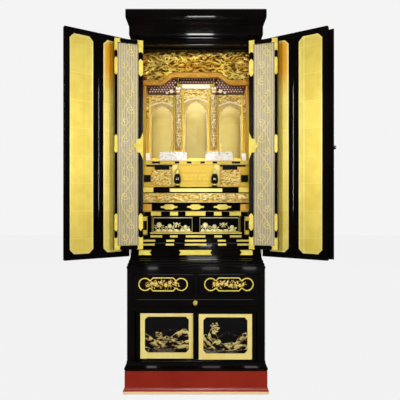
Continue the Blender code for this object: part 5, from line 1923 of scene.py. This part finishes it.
    def drawers(self) -> None:
        """Thin gold frames on the drawer fronts, with raised gold peonies and rocks."""
        for side in SIDES:
            low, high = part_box(f"inner_drawer_{side}")
            place = Matrix.Translation((0, low.y, 0))
            maker = Maker()
            inset = 0.0022
            frame = [(low.x + inset, low.z + inset), (high.x - inset, low.z + inset)]
            frame += [(high.x - inset, high.z - inset), (low.x + inset, high.z - inset)]
            maker.tube([(x, 0.0, z) for x, z in frame], 0.0014, place, 8, True, 0.8)
            field_ = Relief(low.x + 0.006, high.x - 0.006, low.z + 0.004, high.z - 0.006, 0.0010)
            self.picture(field_, 3 if side == "left" else 8)
            field_.gather(maker, place, base=0.0001, least=0.0003, top=0.0022)
            maker.finish(f"inner_drawer_picture_{side}", Look.PICTURE, f"inner_drawer_{side}")
        gold = Maker()
        for a, b in self.mirrored((0.2215, 0.2400)):
            gold.bar(a, b, 0.7145, 0.7330, 0.0, 0.0012, facing(0.125))
            gold.bar(a, b, 0.6540, 0.6720, 0.0, 0.0012, facing(0.125))
        for x in (0.2185, 0.1965):
            for sign in SIDES.values():
                gold.bar(sign * x - 0.0009, sign * x + 0.0009, 0.6540, 0.7345, 0.0, 0.0008, facing(0.125))
        gold.bar(-0.205, 0.205, 0.6560, 0.6625, 0.0, 0.0008, facing(0.125))
        gold.finish("base_fittings", Look.STRAP)

    def picture(self, field_: Relief, seed: int) -> None:
        """Raises a bank of rocks along the foot, with full peonies, buds and leaves above it.

        Args:
            field_: the drawer's field.
            seed: the number that fixes this layout.
        """
        draw = np.random.default_rng(seed)
        x0, x1, z0 = field_.x[0], field_.x[-1], field_.z[0]
        wide = x1 - x0
        for i in range(22):
            share = 0.04 + 0.043 * i
            size = 0.0022 + 0.0036 * abs(math.sin(2.3 * i + seed))
            foot = z0 + 0.0025 + draw.uniform(0, 0.003)
            field_.dab(x0 + wide * share, foot, size, draw.uniform(0.0010, 0.0018))
        for share, level, radius in self.peonies:
            x = x0 + wide * (share + draw.uniform(-0.03, 0.03))
            z = z0 + level + draw.uniform(-0.003, 0.003)
            stem = [(x + 0.004 * math.sin(0.3 * k) - 0.002, z0 + 0.004 + (z - z0) * k / 10) for k in range(9)]
            field_.stroke(stem, [0.0010] * 9, 0.0010)
            for k in range(7):
                a = -0.4 + k * 0.65 + draw.uniform(-0.2, 0.2) + math.pi
                reach = radius * 0.95
                at = (x + reach * math.cos(a), z - radius * 0.5 + 0.4 * reach * math.sin(a))
                field_.leaf(*at, 0.015, 0.0042, a, 0.0015, draw.uniform(-0.8, 0.8))
            field_.peony(x, z, radius, 0.0024, draw.uniform(0, 1))

    def steps(self) -> None:
        """Gold straps on the front edge of each step."""
        gold = Maker()
        lower = self.mirrored(*self.low_straps) + [self.low_middle]
        upper = self.mirrored(*self.high_straps) + [self.high_middle]
        rows = ((0.030, 0.622, 0.010, lower), (0.062, 0.636, 0.010, lower), (0.094, 0.653, 0.011, upper))
        for depth, top, drop, spans in rows:
            for a, b in spans:
                gold.bar(a, b, top - drop, top - 0.0015, 0.0, 0.0007, facing(depth))
        gold.finish("step_straps", Look.STRAP)


# Studio


@dataclass
class Lamp:
    """One soft light: where it stands, what it points at, its size and power.

    Mirrored says whether the gloss shows it, and lighting whether it lights what is dull.
    """

    name: str
    spot: Spot
    aim: Spot
    size: Span
    power: float
    mirrored: bool = True
    lighting: bool = True

    def hang(self) -> None:
        """Adds the light to the scene."""
        data = bpy.data.lights.new(self.name, "AREA")
        data.shape = "RECTANGLE"
        data.size, data.size_y = self.size
        data.energy = self.power
        lamp = show(self.name, data)
        lamp.location = self.spot
        lamp.rotation_euler = (Vector(self.aim) - Vector(self.spot)).to_track_quat("-Z", "Y").to_euler()
        lamp.visible_camera = False
        lamp.visible_glossy = self.mirrored
        lamp.visible_diffuse = self.lighting


@dataclass
class Studio:
    """A plain pale floor, soft studio light and the camera of the reference view."""

    camera_spot: Spot = (0.0, -2.127, 0.794)
    lens: float = 40.77
    shift: Span = (0.010, 0.0075)
    floor_half: float = 9.0
    lamps: tuple[Lamp, ...] = (
        Lamp("left softbox", (-2.36, -4.0, 1.5), (0.0, 0.0, 0.85), (0.44, 1.6), 76.0),
        Lamp("right softbox", (2.36, -4.0, 1.5), (0.0, 0.0, 0.85), (0.44, 1.6), 76.0),
        Lamp("front softbox", (0.06, -4.0, 1.28), (0.0, 0.0, 1.0), (0.34, 0.20), 28.0),
        Lamp("cornice tube", (0.06, -4.0, 1.845), (0.06, 0.0, 1.845), (0.32, 0.03), 0.35),
        Lamp("high tube", (0.06, -4.0, 4.61), (0.06, -0.22, 1.48), (0.36, 0.5), 7.0, True, False),
        Lamp("fascia tube", (0.06, -4.0, 2.892), (0.06, 0.0, 2.892), (0.32, 0.018), 0.10),
        Lamp("sill tube", (0.08, -4.0, 0.095), (0.08, 0.0, 0.095), (0.36, 0.022), 0.24),
        Lamp("step tube", (0.13, -4.0, 0.255), (0.13, 0.0, 0.255), (0.14, 0.020), 0.07),
        Lamp("left low tube", (-0.347, -2.0, 0.27), (-0.347, 0.0, 0.27), (0.075, 0.020), 0.011),
        Lamp("middle low tube", (0.12, -2.0, 0.27), (0.12, 0.0, 0.27), (0.13, 0.020), 0.011),
        Lamp("right low tube", (0.43, -2.0, 0.27), (0.43, 0.0, 0.27), (0.10, 0.020), 0.012),
        Lamp("top softbox", (0.0, -0.4, 3.2), (0.0, 0.0, 0.8), (1.6, 1.2), 10.0),
        Lamp("shrine fill", (0.0, -0.75, 1.24), (0.0, 0.0, 1.12), (0.5, 0.3), 2.0, False),
        Lamp("low fill", (0.0, -1.7, 0.40), (0.0, 0.0, 0.28), (0.5, 0.3), 1.9, False),
        Lamp("niche glow", (0.0, 0.0, 1.175), (0.0, 0.30, 1.175), (0.46, 0.42), 0.06),
        Lamp("niche top glow", (0.0, 0.02, 1.34), (0.0, 0.30, 1.33), (0.46, 0.04), 0.40),
        Lamp("left back softbox", (-3.4, 2.6, 1.7), (0.0, 0.0, 0.85), (0.6, 1.6), 34.0),
        Lamp("right back softbox", (3.4, 2.6, 1.7), (0.0, 0.0, 0.85), (0.6, 1.6), 34.0),
    )

    def build(self) -> None:
        """Adds floor, world, lights and camera."""
        bpy.context.scene.view_settings.view_transform = "Standard"
        self.floor()
        self.world()
        for lamp in self.lamps:
            lamp.hang()
        self.camera()

    def floor(self) -> None:
        """A wide pale floor."""
        mesh = bpy.data.meshes.new("floor")
        half = self.floor_half
        corners = [(-half, -half, 0.0), (half, -half, 0.0), (half, half, 0.0), (-half, half, 0.0)]
        mesh.from_pydata(corners, [], [(0, 1, 2, 3)])
        made = bpy.data.materials.new("pale floor")
        made.use_nodes = True
        tree = made.node_tree
        shader = tree.nodes["Principled BSDF"]
        matt = {"Base Color": linear("#303030"), "Roughness": 1.0, "Specular IOR Level": 0.0}
        for key, value in {**matt, "Emission Color": linear("#F4F4F4"), "Emission Strength": 0.97}.items():
            shader.inputs[key].default_value = value
        # The lacquer mirrors a darker floor than the eye sees, as it does with a dark cloth before it
        dull = add(tree, "BsdfDiffuse", {"Color": linear("#3A3A3A")})
        eye = add(tree, "LightPath").outputs["Is Camera Ray"]
        mixed = add(tree, "MixShader", links={0: eye, 1: dull, 2: shader})
        feed(tree.nodes["Material Output"], {"Surface": mixed})
        mesh.materials.append(made)
        floor = show("floor", mesh)

    def world(self) -> None:
        """Near-white to the eye; what the gloss mirrors is dim all round and a little brighter above."""
        world = bpy.data.worlds.new("studio")
        bpy.context.scene.world = world
        world.use_nodes = True
        tree = world.node_tree
        tree.nodes.clear()
        way = add(tree, "TexCoord").outputs["Generated"]
        height = add(tree, "SeparateXYZ", links={"Vector": way}).outputs["Z"]
        glow = add(tree, "ValToRGB", {"stops": [(0.20, "#0C0C0C"), (0.9, "#6A6A6A")]}, {"Fac": height})
        shown = add(tree, "Background", {"Color": linear("#F4F4F4"), "Strength": 1.0})
        mirrored = add(tree, "Background", {"Strength": 0.5}, {"Color": glow})
        eye = add(tree, "LightPath").outputs["Is Camera Ray"]
        mixed = add(tree, "MixShader", links={0: eye, 1: mirrored, 2: shown})
        add(tree, "OutputWorld", links={"Surface": mixed})

    def camera(self) -> None:
        """The camera of the reference view, level and straight on."""
        data = bpy.data.cameras.new("camera")
        data.lens = self.lens
        data.sensor_width = 36.0
        data.shift_x, data.shift_y = self.shift
        camera = show("camera", data)
        camera.location = self.camera_spot
        camera.rotation_euler = (math.pi / 2, 0.0, 0.0)
        bpy.context.scene.camera = camera


def main() -> None:
    """Builds the studio and every sub-assembly in order."""
    logging.basicConfig(level=logging.INFO, format="%(name)s: %(message)s")
    for part in (Studio(), Case(), LowerFront(), OuterDoors(), GauzeDoors(), Transom(), Shrine(), Altar()):
        part.build()


if __name__ == "__main__":
    main()
